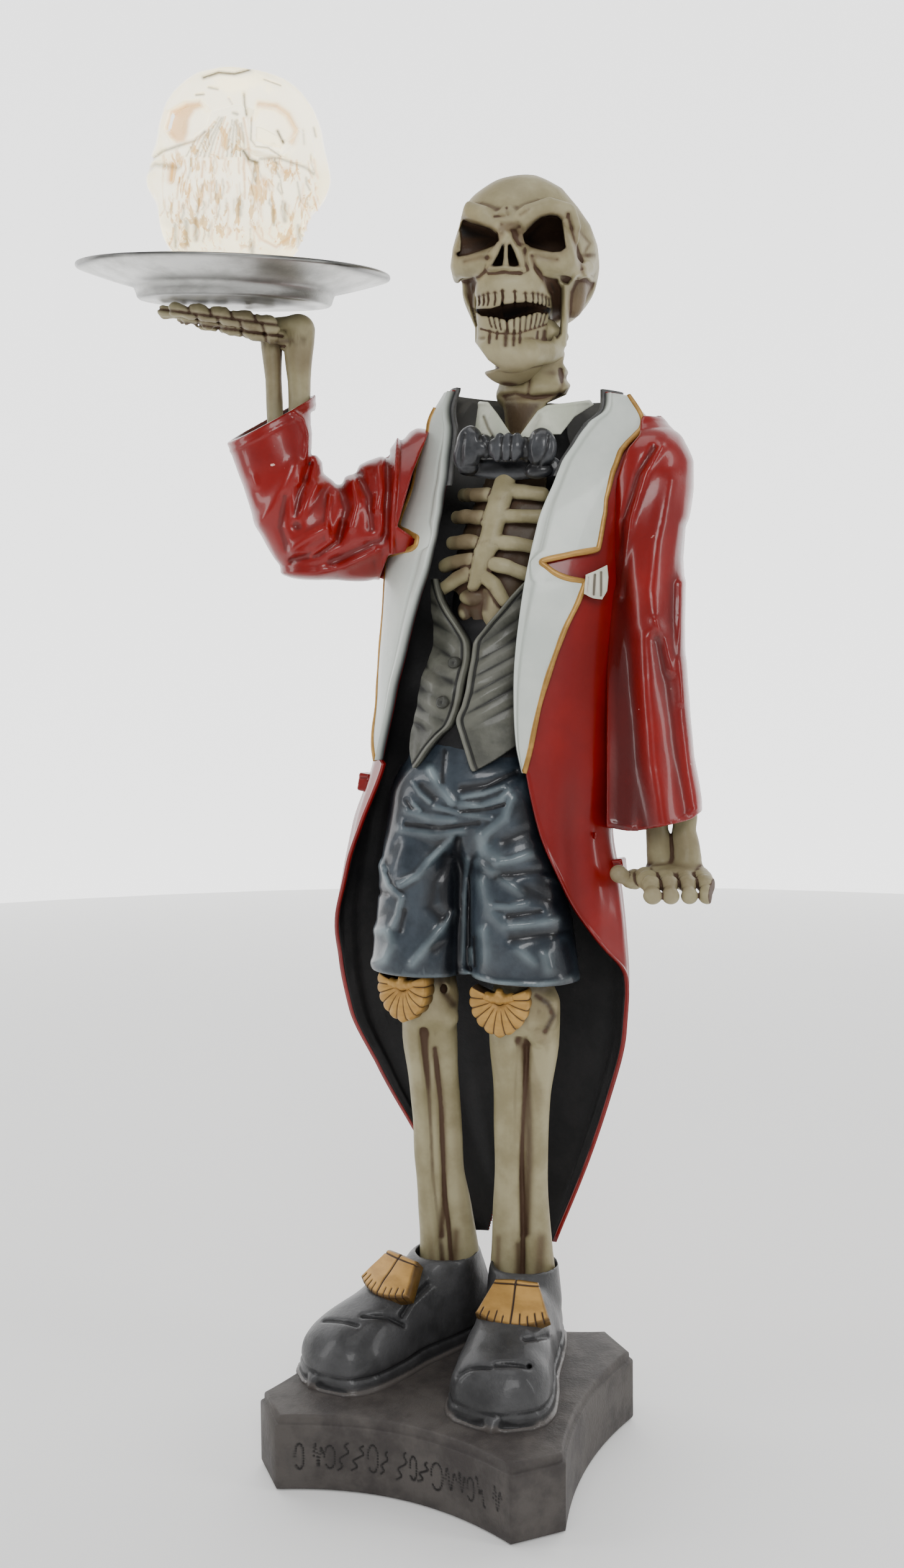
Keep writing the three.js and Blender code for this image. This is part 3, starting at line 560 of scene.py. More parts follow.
class Nodes:
    """A short way to write a material's nodes."""

    def __init__(self, name):
        self.material = bpy.data.materials.new(name)
        self.material.use_nodes = True
        self.tree = self.material.node_tree
        self.shader = self.tree.nodes["Principled BSDF"]
        self.place = self.tree.nodes.new("ShaderNodeTexCoord").outputs["Object"]

    def link(self, value, socket):
        if isinstance(value, bpy.types.NodeSocket):
            self.tree.links.new(value, socket)
        elif isinstance(value, tuple) and len(value) == 3:
            socket.default_value = (*value, 1)
        else:
            socket.default_value = value

    def math(self, operation, a, b=0.0, c=None):
        node = self.tree.nodes.new("ShaderNodeMath")
        node.operation = operation
        self.link(a, node.inputs[0])
        self.link(b, node.inputs[1])
        if c is not None:
            self.link(c, node.inputs[2])
        return node.outputs[0]

    def mark(self, name):
        node = self.tree.nodes.new("ShaderNodeAttribute")
        node.attribute_name = name
        return node.outputs["Fac"]

    def noise(self, size_mm, detail=3.0, rough=0.55, stretch=(1, 1, 1)):
        """Noise from about 0 to 1 with features of a size in millimetres."""
        scale = self.tree.nodes.new("ShaderNodeMapping")
        scale.inputs["Scale"].default_value = stretch
        self.tree.links.new(self.place, scale.inputs["Vector"])
        node = self.tree.nodes.new("ShaderNodeTexNoise")
        node.inputs["Scale"].default_value = 1000.0 / size_mm
        node.inputs["Detail"].default_value = detail
        node.inputs["Roughness"].default_value = rough
        self.tree.links.new(scale.outputs[0], node.inputs["Vector"])
        return node.outputs["Fac"]

    def step(self, value, low, high, to_low=0.0, to_high=1.0):
        node = self.tree.nodes.new("ShaderNodeMapRange")
        node.interpolation_type = "SMOOTHSTEP"
        self.link(value, node.inputs["Value"])
        for socket, number in zip(("From Min", "From Max", "To Min", "To Max"),
                                  (low, high, to_low, to_high)):
            node.inputs[socket].default_value = number
        return node.outputs["Result"]

    def mix(self, share, a, b):
        node = self.tree.nodes.new("ShaderNodeMix")
        node.data_type = "RGBA"
        self.link(share, node.inputs[0])
        self.link(a, node.inputs[6])
        self.link(b, node.inputs[7])
        return node.outputs[2]

    def bump(self, height, distance_mm, strength=1.0):
        node = self.tree.nodes.new("ShaderNodeBump")
        node.inputs["Strength"].default_value = strength
        node.inputs["Distance"].default_value = distance_mm * MM
        self.link(height, node.inputs["Height"])
        self.tree.links.new(node.outputs[0], self.shader.inputs["Normal"])

    def set(self, **values):
        for name, value in values.items():
            self.link(value, self.shader.inputs[name.replace("_", " ")])
        return self.material


def painted(name, body, light, wash, gloss=0.4, varnish=0.0, wash_gain=1.0, marks=(), chip=None, grain=0.15,
            patch_mm=45, streak=(1, 1, 1)):
    """Paint over cast resin: uneven colour, a dark wash in the hollows, worn edges and fine grain.

    `marks` are pairs of a mark's name and the colour painted where it is 1.
    """
    n = Nodes(name)
    patch = n.noise(patch_mm, 4, 0.6, streak)
    fine = n.noise(2.2, 3, 0.6)
    colour = n.mix(n.step(patch, 0.36, 0.66), body, light)
    for mark, paint in marks:
        colour = n.mix(n.mark(mark), colour, paint)
    crease, hollow = n.mark("crease"), n.mark("hollow")
    depth = n.math("MULTIPLY_ADD", crease, 1.1, n.math("MULTIPLY", hollow, 0.75))
    depth = n.math("ADD", depth, n.math("MULTIPLY", n.math("SUBTRACT", patch, 0.5), 0.5))
    washed = n.math("MULTIPLY", n.step(depth, 0.0, 0.5), wash_gain)
    colour = n.mix(washed, colour, wash)
    worn = n.step(n.math("MULTIPLY_ADD", crease, -1.0, n.math("MULTIPLY", fine, 0.5)), 0.55, 0.95)
    colour = n.mix(n.math("MULTIPLY", worn, 0.35), colour, light)
    if chip:
        spot = n.math("MULTIPLY", n.step(n.noise(5, 2, 0.5), 0.73, 0.76),
                      n.step(n.noise(60, 2, 0.5), 0.60, 0.66))
        colour = n.mix(spot, colour, chip)
    rough = n.math("MULTIPLY_ADD", fine, 0.16, n.math("MULTIPLY_ADD", washed, 0.2, gloss - 0.08))
    n.bump(n.math("ADD", fine, n.math("MULTIPLY", n.noise(9, 3, 0.5), 1.5)), grain)
    n.shader.inputs["Coat Weight"].default_value = varnish
    n.shader.inputs["Coat Roughness"].default_value = 0.10
    n.shader.inputs["Specular IOR Level"].default_value = 0.35
    return n.set(Base_Color=colour, Roughness=rough)


def floor_material():
    n = Nodes("floor_paper")
    shade = n.noise(900, 2, 0.5)
    n.bump(n.noise(3, 2), 0.05)
    return n.set(Base_Color=n.mix(shade, (0.93, 0.93, 0.92), (0.97, 0.97, 0.96)), Roughness=0.85)


def metal_paint(name, bright, dull, dark, metallic, gloss, streak_mm=30, marks=()):
    """Gold or silver paint: streaky, darker in creases, with a brushed grain."""
    n = Nodes(name)
    streak = n.noise(streak_mm, 4, 0.6, (1, 1, 3))
    fine = n.noise(1.6, 3, 0.6)
    colour = n.mix(n.step(streak, 0.35, 0.65), dull, bright)
    depth = n.math("MULTIPLY_ADD", n.mark("crease"), 1.3, n.math("MULTIPLY", n.mark("hollow"), 0.5))
    colour = n.mix(n.step(depth, 0.05, 0.6), colour, dark)
    for mark, paint in marks:
        colour = n.mix(n.mark(mark), colour, paint)
    n.bump(n.math("ADD", fine, streak), 0.12)
    n.shader.inputs["Metallic"].default_value = metallic
    return n.set(Base_Color=colour, Roughness=n.math("MULTIPLY_ADD", fine, 0.2, gloss - 0.1))


BLACK = (0.006, 0.006, 0.007)
UMBER = (0.075, 0.040, 0.022)

make_camera()
make_studio()

# In the coat red, the dark red fold mark is painted shade in the left sleeve's folds.
RED = painted("coat_red", (0.175, 0.0014, 0.0007), (0.24, 0.003, 0.0015), (0.05, 0.0006, 0.0005), 0.34,
              0.35, 0.5,
              marks=[("lining", (0.012, 0.010, 0.010)), ("umber", (0.030, 0.0010, 0.0008))],
              chip=(0.72, 0.45, 0.40), grain=0.06, patch_mm=90)
LAPEL = painted("lapel_white", (0.56, 0.61, 0.56), (0.66, 0.70, 0.64), (0.16, 0.17, 0.14), 0.42, 0.3, 0.6,
                marks=[("grey", (0.045, 0.048, 0.055))], grain=0.12, patch_mm=60)
GOLD = metal_paint("gold_paint", (0.46, 0.26, 0.065), (0.33, 0.18, 0.042), (0.05, 0.024, 0.008), 0.45, 0.42,
                   marks=[("ink", (0.03, 0.015, 0.008))])
SHELL_GOLD = metal_paint("shell_gold", (0.50, 0.29, 0.075), (0.38, 0.21, 0.050), (0.07, 0.035, 0.010), 0.25,
                         0.5,
                         marks=[("ink", (0.05, 0.024, 0.010))])
BONE = painted("bone", (0.25, 0.215, 0.115), (0.36, 0.32, 0.19), UMBER, 0.55, 0.05, 1.0,
               marks=[("brown", (0.13, 0.085, 0.045)), ("black", (0.010, 0.007, 0.006))], grain=0.2,
               patch_mm=38)
LEATHER = painted("shoe_grey", (0.026, 0.026, 0.027), (0.060, 0.060, 0.062), (0.010, 0.010, 0.011), 0.46,
                  0.15, 1.0,
                  marks=[("base", (0.080, 0.070, 0.064)), ("black", (0.008, 0.008, 0.008))],
                  grain=0.25, patch_mm=40)
STONE = painted("plinth_grey", (0.040, 0.034, 0.032), (0.078, 0.069, 0.063), (0.012, 0.010, 0.010), 0.62,
                0.0, 1.0,
                marks=[("ink", (0.010, 0.009, 0.009))], grain=0.35, patch_mm=30)
DENIM = painted("shorts_blue", (0.014, 0.021, 0.030), (0.038, 0.051, 0.066), (0.004, 0.005, 0.008), 0.33,
                0.35, 1.0,
                marks=[("pale", (0.20, 0.25, 0.27)), ("black", (0.004, 0.004, 0.006))], grain=0.12,
                patch_mm=35)
WAISTCOAT = painted("waistcoat_grey", (0.055, 0.056, 0.045), (0.115, 0.116, 0.094), (0.014, 0.014, 0.012),
                    0.45, 0.15,
                    1.0, marks=[("pale", (0.20, 0.20, 0.165)), ("black", (0.008, 0.008, 0.008))],
                    patch_mm=26)
SILK = painted("tie_grey", (0.020, 0.021, 0.024), (0.052, 0.055, 0.061), (0.004, 0.004, 0.005), 0.36, 0.3,
               1.0,
               marks=[("black", (0.004, 0.004, 0.005))], patch_mm=22)
COLLAR = painted("collar_grey", (0.060, 0.060, 0.060), (0.115, 0.115, 0.112), (0.010, 0.010, 0.010), 0.5,
                 0.1, 1.0,
                 patch_mm=30)
INNER = painted("inside_black", (0.005, 0.005, 0.006), (0.012, 0.011, 0.012), BLACK, 0.6, 0.0, 1.0,
                marks=[("grey", (0.110, 0.110, 0.106))], patch_mm=40)
LINEN = painted("collar_linen", (0.50, 0.53, 0.42), (0.62, 0.64, 0.53), (0.10, 0.09, 0.06), 0.5, 0.1, 0.9,
                marks=[("brown", (0.10, 0.08, 0.04)), ("pink", (0.62, 0.50, 0.47))], patch_mm=20)


# Places read from the photograph, in points of its 1456 x 2526 picture

PICTURE = (1456, 2526)


def view_frame():
    matrix = np.array(bpy.context.scene.camera.matrix_world)
    return matrix[:3, 3] / MM, matrix[:3, :3], CAMERA_LENS / 36 * PICTURE[1]


def sight(u, v):
    """The camera's place and the direction through a point of the picture, in millimetres."""
    at, axes, focus = view_frame()
    return at, unit(axes @ vec(u - PICTURE[0] / 2, PICTURE[1] / 2 - v, -focus))


def seen(u, v, y):
    """The point of the plane at a given y that shows at a point of the picture."""
    start, ray = sight(u, v)
    return start + ray * ((y - start[1]) / ray[1])


def shown(x, y, z, place=None):
    """Where points show in the picture, and how far from the camera they are."""
    points = np.stack(np.broadcast_arrays(x, y, z), -1)
    if place is not None:
        matrix = np.array(place)
        points = points @ matrix[:3, :3].T + matrix[:3, 3]
    at, axes, focus = view_frame()
    local = (points - at) @ axes
    depth = -local[..., 2]
    return PICTURE[0] / 2 + local[...,
                                  0] / depth * focus, PICTURE[1] / 2 - local[..., 1] / depth * focus, depth


def from_line(u, v, places):
    """Distance in picture points from a line drawn over the picture."""
    best = np.full(np.shape(u), 1e6)
    for (x0, y0), (x1, y1) in zip(places[:-1], places[1:]):
        span = (x1 - x0) ** 2 + (y1 - y0) ** 2 + 1e-9
        t = np.clip(((u - x0) * (x1 - x0) + (v - y0) * (y1 - y0)) / span, 0, 1)
        best = np.minimum(best, np.hypot(u - x0 - t * (x1 - x0), v - y0 - t * (y1 - y0)))
    return best


def from_patch(u, v, corners):
    """Distance from the edge of a patch drawn over the picture, negative inside it."""
    inside = np.zeros(np.shape(u), bool)
    for (x0, y0), (x1, y1) in zip(corners, corners[1:] + corners[:1]):
        crosses = (y0 > v) != (y1 > v)
        inside ^= crosses & (u < (x1 - x0) * (v - y0) / (y1 - y0 + 1e-9) + x0)
    best = from_line(u, v, corners + corners[:1])
    return np.where(inside, -best, best)


def well(corners, near, far, place=None):
    """A shape to cut with: what shows inside a patch of the picture, between two distances."""
    focus = view_frame()[2]
    at, axes, _ = view_frame()
    back = np.linalg.inv(np.array(place)) if place is not None else np.eye(4)
    ends = []
    for u, v in corners:
        ray = axes @ vec(u - PICTURE[0] / 2, PICTURE[1] / 2 - v, -focus) / focus
        for depth in (near, far):
            point = at + ray * depth
            ends.append(back[:3, :3] @ point + back[:3, 3])
    ends = np.array(ends)

    def distance(x, y, z):
        u, v, depth = shown(x, y, z, place)
        flat = from_patch(u, v, corners) * depth / focus
        return np.maximum(flat, np.maximum(near - depth, depth - far))
    return ends.min(0) - 3, ends.max(0) + 3, distance


class Sketch:
    """Lines and patches drawn over the picture, which press or raise a surface and colour it."""

    def __init__(self, near, far, place=None):
        self.near, self.far, self.place = near, far, place
        self.strokes = []

    def line(self, places, width, press=0.0, **marks):
        self.strokes.append((from_line, [tuple(p) for p in places], width, press, marks))
        return self

    def lines(self, rows, *names):
        """Adds a line for each row of places, width, press and the amount of each named mark."""
        for places, width, press, *amounts in rows:
            self.line(places, width, press, **dict(zip(names, amounts)))

    def patch(self, corners, blur, press=0.0, **marks):
        self.strokes.append((from_patch, [tuple(p) for p in corners], blur, press, marks))
        return self

    def shares(self, x, y, z):
        u, v, depth = shown(x, y, z, self.place)
        front = ramp(self.far - depth, 0, 6) * ramp(depth - self.near, 0, 6)
        for measure, places, width, press, marks in self.strokes:
            low, high = np.min(places, 0) - width * 3, np.max(places, 0) + width * 3
            near = (u > low[0]) & (u < high[0]) & (v > low[1]) & (v < high[1]) & (front > 0)
            share = np.zeros(np.shape(u))
            away = measure(u[near], v[near], places)
            if measure is from_line:
                share[near] = np.exp(-(away / width) ** 2)
            else:
                share[near] = 1 - ramp(away, -width, width)
            yield share * front, press, marks

    def relief(self, x, y, z):
        total = np.zeros(np.broadcast_shapes(np.shape(x), np.shape(y), np.shape(z)))
        for share, press, _ in self.shares(x, y, z):
            if press:
                total += share * press
        return total

    def colour(self, skin):
        """Adds the colours of the sketch to the marks of a skin."""
        for share, _, marks in self.shares(*skin.points.T):
            for name, amount in marks.items():
                old = skin.marks.get(name, 0)
                skin.marks[name] = np.clip(np.maximum(old, share * amount), 0, 1)
        return skin


# Plinth: a square with cut corners and hollowed sides, rounded edges, and shallow strokes on its front

PLINTH_HALF = (112.5, 106.0)
PLINTH_CORNER = 27.6
PLINTH_SAG = (20.0, 10.0)
PLINTH_TOP = 50.7
SIDE_STEPS = 150


def plinth_outline(inset):
    """The outline as points and, for each, how far along the front side it is (or -1 elsewhere)."""
    x, y = PLINTH_HALF[0] - inset, PLINTH_HALF[1] - inset
    c = PLINTH_CORNER - inset * 0.59
    t = np.linspace(0, 1, SIDE_STEPS)
    points, front = [], []
    sides = [
        ((-x + c, -y), (0, -y + 2 * PLINTH_SAG[0]), (x - c, -y)),
        ((x, -y + c), (x - 2 * PLINTH_SAG[1], 0), (x, y - c)),
        ((x - c, y), (0, y - 2 * PLINTH_SAG[0]), (-x + c, y)),
        ((-x, y - c), (-x + 2 * PLINTH_SAG[1], 0), (-x, -y + c)),
    ]
    for i, (a, b, d) in enumerate(sides):
        a, b, d = (np.array(p, float) for p in (a, b, d))
        curve = ((1 - t) ** 2)[:, None] * a + (2 * t * (1 - t))[:, None] * b + (t**2)[:, None] * d
        nxt = np.array(sides[(i + 1) % 4][0], float)
        cut = curve[-1] + (nxt - curve[-1]) * np.linspace(0, 1, 16)[1:-1, None]
        points += [curve, cut]
        front += [t if i == 0 else np.full(SIDE_STEPS, -1.0), np.full(14, -1.0)]
    return np.concatenate(points), np.concatenate(front)


def strokes(along, height):
    """Depth of the cut strokes on the front: loose loops and slants, 1 at the bottom of a stroke."""
    random = np.random.default_rng(11)
    depth = np.zeros(np.broadcast(along, height).shape)
    at = 0.07
    while at < 0.95:
        wide = random.uniform(0.030, 0.052)
        if random.uniform() < 0.16:
            at += 0.03
            continue
        tall = random.uniform(7, 10)
        middle = 24 + random.uniform(-1, 1)
        kind = random.integers(0, 4)
        t = np.linspace(0, 1, 26)
        if kind == 0:
            xs, zs = at + wide * t, middle + tall * np.sin(t * 9.0) * (1 - 0.4 * t)
        elif kind == 1:
            xs, zs = at + wide * (0.5 - 0.5 * np.cos(t * 5.5)), middle + tall * np.sin(t * 5.5)
        elif kind == 2:
            xs, zs = at + wide * t, middle + tall * (1 - 2 * t) + 3 * np.sin(t * 12)
        else:
            xs, zs = at + wide * (t + 0.25 * np.sin(t * 12)), middle + tall * (2 * t - 1)
        for px, pz in zip(xs, zs):
            gap = np.hypot((along - px) * 190, height - pz)
            depth = np.maximum(depth, np.clip(1.25 - gap / 0.9, 0, 1))
        at += wide * 1.25
    return depth


def make_plinth():
    levels = [(2.2, 0), (0.6, 0.5), (0, 2.2)] + [(0, z) for z in np.arange(3.2, 43.3, 0.62)]
    levels += [(0.1, 43.8), (0.5, 44.6), (1.1, 45.0), (2.2, 45.1), (2.5, 45.6), (2.6, 48.6), (2.9, 49.8),
               (3.6, 50.5), (4.8, 50.7)]
    rings, ink = [], []
    random_wave = lambda p, z: 0.35 * lumps(p[:, 0], p[:, 1], z, 26, 3)
    for inset, z in levels:
        points, front = plinth_outline(inset)
        middle_pull = unit_rows(-points)
        cut = np.where(front > 0, strokes(front, np.full_like(front, z)),
                       0) if 8 < z < 40 else np.zeros(len(front))
        wave = random_wave(points, z) if 2 < z < 49 else 0
        push = (cut * 0.9 + np.maximum(wave, 0))[:, None] if 2 < z < 49 else 0
        points = points + middle_pull * push
        rings.append(np.column_stack([points, np.full(len(points), z)]))
        ink.append(cut)
    top = [rings[-1]]
    middle = np.array([0.0, 0.0, PLINTH_TOP])
    for share in (0.9, 0.72, 0.5, 0.28, 0.1):
        ring = middle + (rings[-1] - middle) * share
        ring[:, 2] = PLINTH_TOP - 0.25 + 0.25 * lumps(ring[:, 0], ring[:, 1], 0, 34, 5)
        top.append(ring)
        ink.append(np.zeros(len(ring)))
    skin = stack_of(np.array(rings + top[1:]))
    marks = np.concatenate(ink + [np.zeros(2)])
    skin.marks = {"ink": marks * 0.85, "crease": marks * 0.4}
    edge = np.zeros(len(skin.points))
    skin.marks["hollow"] = edge
    figure_piece("plinth", skin, STONE)


def unit_rows(v):
    return v / np.maximum(np.linalg.norm(v, axis=1), 1e-9)[:, None]


# Tail-coat. Each row gives z, the middle x and y, the half width to the right and the left, front y,
# back y, and how far round from the front the right and the left edge stand, in degrees.
COAT = [
    (112, 7, 108, 36, 36, 75, 117, 90, 90), (180, -1, 104, 70, 72, 66, 117, 90, 90),
    (240, -5, 94, 97, 99, 57, 116, 90, 90), (290, -5, 82, 116, 114, 32, 115, 90, 89),
    (332, -4, 72, 119, 118, 6, 113, 89, 82), (365, -3, 68, 118, 116, 4, 110, 81, 61),
    (398, -2, 66, 112, 112, 4, 106, 72, 48), (440, 0, 64, 103, 104, 4, 100, 56, 38),
    (490, 0, 62, 84, 106, 4, 95, 44, 31), (540, 2, 60, 76, 106, 5, 94, 39, 27),
    (600, 12, 63, 82, 101, 8, 101, 31, 24), (655, 24, 70, 91, 98, 18, 112, 27, 22),
    (700, 40, 80, 94, 98, 35, 122, 37, 20), (737, 43, 82, 92, 92, 45, 122, 42, 42),
    (764, 42, 82, 72, 70, 50, 116, 60, 58),
]
COAT_Z = [row[0] for row in COAT]
COAT_ROWS = [row[1:] for row in COAT]
SHOULDER_SLOPE = 0.11
LAPEL_LEFT_OUT = [(482, 30.7), (499, 33.2), (514, 34.8), (529, 36.4), (557, 40.5), (582, 44.7), (603, 49.5),
                  (614, 50.8), (616, 43.5), (619, 37.5), (625, 31.4), (628, 29.0), (633, 41.0),
                  (637.5, 54.6),
                  (660, 52.6), (673, 48.8), (696, 45.5), (710, 46.3), (720, 49.3), (731, 55.5), (745, 66),
                  (764, 76)]
LAPEL_LEFT_IN = [(482, 29.9), (502, 27.5), (536, 25.7), (594, 24.1), (644, 23.3), (678, 21.4), (698, 20.5),
                 (718, 24), (739, 31), (749, 42.5), (764, 56)]
LAPEL_RIGHT_OUT = [(490, 50), (515, 64.7), (543, 70.5), (593, 72), (626, 73), (638, 71), (641.5, 64.5),
                   (643.5, 38),
                   (646, 34.8), (650, 35), (656, 44), (663, 59), (685, 66), (707, 68), (722, 62), (736, 58),
                   (764, 66)]
LAPEL_RIGHT_IN = [(490, 49), (510, 46.7), (538, 42.2), (564, 35.7), (591, 31.7), (606, 29.2), (632, 25.2),
                  (649, 25.1), (666, 27.7), (688, 34.8), (709, 37.9), (733, 40), (764, 58)]


def coat_points(z, angle, lift):
    """Points of the coat: angle from the front, positive to the figure's left; lift goes outwards."""
    z, angle, lift = np.broadcast_arrays(np.asarray(z, float), angle, lift)
    row = spline(COAT_Z, COAT_ROWS, z)
    cx, cy, right, left, front, back = (row[..., k] for k in range(6))
    a = np.radians(angle)
    half = np.where(np.sin(a) < 0, right, left)
    reach = np.where(np.cos(a) > 0, cy - front, back - cy)
    x = cx + np.sin(a) * (half + lift)
    drop = np.maximum(0, x + 20) * SHOULDER_SLOPE * np.clip((z - 690) / 47, 0, 1)
    return np.stack([x, cy - np.cos(a) * (reach + lift), z - drop], axis=-1)


def coat_folds(z, angle):
    """Long soft folds of the skirt and pulls below the arms; positive stands out."""
    low = ramp(z, 560, 420) * ramp(z, 120, 200)
    a = np.radians(angle)
    skirt = 1.6 * np.sin(a * 9 + z * 0.006) + 1.1 * np.sin(a * 17 - z * 0.011)
    back = ramp(np.cos(np.radians(angle)), 0.2, -0.6)
    seam = -1.4 * np.exp(-((angle - 180) / 1.6) ** 2) * back
    waist = 1.2 * np.sin(z * 0.11 + np.radians(angle) * 2) * np.exp(-((z - 545) / 40) ** 2) * back
    return skirt * low * 0.8 + seam + waist


def edge_at(rows, z):
    return spline([row[0] for row in rows], [row[1] for row in rows], z)


VENT_TOP = 178.0


def make_coat():
    z = np.concatenate([np.linspace(112.5, 200, 40), np.linspace(202, 764, 190)])
    row = spline(COAT_Z, COAT_ROWS, z)
    right, left = row[:, 6], row[:, 7]
    # The coat's own edge stays just behind the lapel's fold
    left = np.where(z > 482, edge_at(LAPEL_LEFT_IN, z) + 0.6, left)
    right = np.where(z > 490, edge_at(LAPEL_RIGHT_IN, z) + 0.6, right)
    cols = 300
    t = np.linspace(0, 1, cols)
    # Columns crowd towards both front edges
    t = t - 0.08 * np.sin(2 * math.pi * t)
    angle = left[:, None] + (360 - right - left)[:, None] * t[None, :]
    zz = np.repeat(z[:, None], cols, 1)
    folds = coat_folds(zz, angle)
    near_edge = np.minimum(angle - left[:, None], 360 - right[:, None] - angle)
    rolled = np.exp(-(near_edge / 1.2) ** 2)
    outer = coat_points(zz, angle, np.clip(folds, -3, 2.2) - 1.0 + rolled)
    middle = coat_points(zz, angle, np.clip(folds, -3, 2.2) - 3.4)
    skin = shell_of(outer, middle, {"crease": np.clip(-folds * 0.12, 0, 1)}, {"crease": 0})
    figure_piece("coat", vented(skin), RED)
    hem = ramp(near_edge, 0.0, 1.2) - 0.2
    cloth = 0.3 * lumps(angle, zz, 0, 14, 8)
    lined = coat_points(zz, angle, np.clip(folds, -3, 2.2) - 3.2 - 1.6 * hem + cloth * hem)
    behind = coat_points(zz, angle, np.clip(folds, -3, 2.2) - 2.9 - 0.1 * hem)
    collar = ramp(zz, 676, 716)
    skin = shell_of(behind, lined, {"crease": 0}, {"crease": np.clip(folds * 0.1, 0, 1), "grey": collar})
    figure_piece("coat_lining", vented(skin), INNER)


def vented(skin):
    """Opens the vent between the two tails: leaves out the faces inside its tall triangle at the back."""
    faces = skin.faces[0]
    centre = skin.points[faces].mean(1)
    down = (VENT_TOP - centre[:, 2]) / (VENT_TOP - 100)
    middle = mix(2.0, 5.0, down)
    half = np.maximum(down, 0) * 24
    inside = (centre[:, 1] > 100) & (np.abs(centre[:, 0] - middle) < half)
    skin.faces = [faces[~inside]]
    return skin


def lapel(name, out_rows, in_rows, sign, low, high, raise_in, raise_out):
    """A wide flat lapel that rolls over the coat's edge; gives back its free edge, where the gold piping
    goes.
    """
    z = np.unique(np.concatenate([np.linspace(low, high, 190)] + [
        np.linspace(row[0] - 3, row[0] + 3, 13) for row in out_rows if 605 < row[0] < 665]))
    z = z[(z >= low) & (z <= high)]
    inside, outside = edge_at(in_rows, z), edge_at(out_rows, z)
    outside = np.maximum(outside, inside + 0.8)
    cols = 54
    t = np.linspace(0, 1, cols)[None, :]
    angle = sign * (inside[:, None] + (outside - inside)[:, None] * t)
    zz = np.repeat(z[:, None], cols, 1)
    roll = np.exp(-(t / 0.10) ** 2) * raise_in
    body = raise_out * (0.75 + 0.25 * t) + 0.5 * lumps(angle, zz, 0, 30, 21)
    fold = -0.9 * np.exp(-((t - 0.13) / 0.035) ** 2)
    outer = coat_points(zz, angle, body + roll + fold)
    inner = coat_points(zz, angle, np.full_like(zz, -3.0) + roll * 0.3)
    crease = 0.25 * np.exp(-((t - 0.13) / 0.04) ** 2) + np.zeros_like(zz)
    skin = shell_of(outer, inner, {"grey": 0, "crease": crease}, {"grey": 1.0})
    figure_piece(name, skin, LAPEL)
    free = coat_points(z, sign * outside, raise_out * 0.8)
    return free


def make_lapels():
    left = lapel("lapel_left", LAPEL_LEFT_OUT, LAPEL_LEFT_IN, 1, 482, 763, 1.5, 3.0)
    right = lapel("lapel_right", LAPEL_RIGHT_OUT, LAPEL_RIGHT_IN, -1, 490, 763, 1.5, 3.0)
    gold = []
    for edge in (left, right):
        edge = edge[edge[:, 2] < 752]
        edge = through(edge, 620)
        width = 2.15 + 0.25 * lumps(edge[:, 0], edge[:, 1], edge[:, 2], 12, 2)
        gold.append(pipe(edge, width, 14, up=(0.1, -1, 0.1), flat=0.75).marked(crease=0.0, hollow=0.0))
    figure_piece("lapel_piping", joined(gold), GOLD)


make_plinth()
make_coat()
make_lapels()


# Skull, about its own middle, facing -Y

HEAD_AT = (35, 78, 863)
HEAD_YAW = 6
HEAD_TILT = 4
JAW_Z = -73.0
HEAD_VOXEL = 0.85


def placed_at(at, yaw=0, tilt=0, scale=(1, 1, 1)):
    turn = Matrix.Rotation(math.radians(yaw), 4, "Z") @ Matrix.Rotation(math.radians(tilt), 4, "Y")
    return Matrix.Translation(at) @ turn @ Matrix.Diagonal((*scale, 1))


def on_surface(points, shapes, reach):
    """1 where a point lies on one of the shapes, fading out over `reach` millimetres."""
    x, y, z = points.T
    near = np.min([shape[2](x, y, z) for shape in shapes], axis=0)
    return 1 - ramp(near, reach * 0.35, reach)


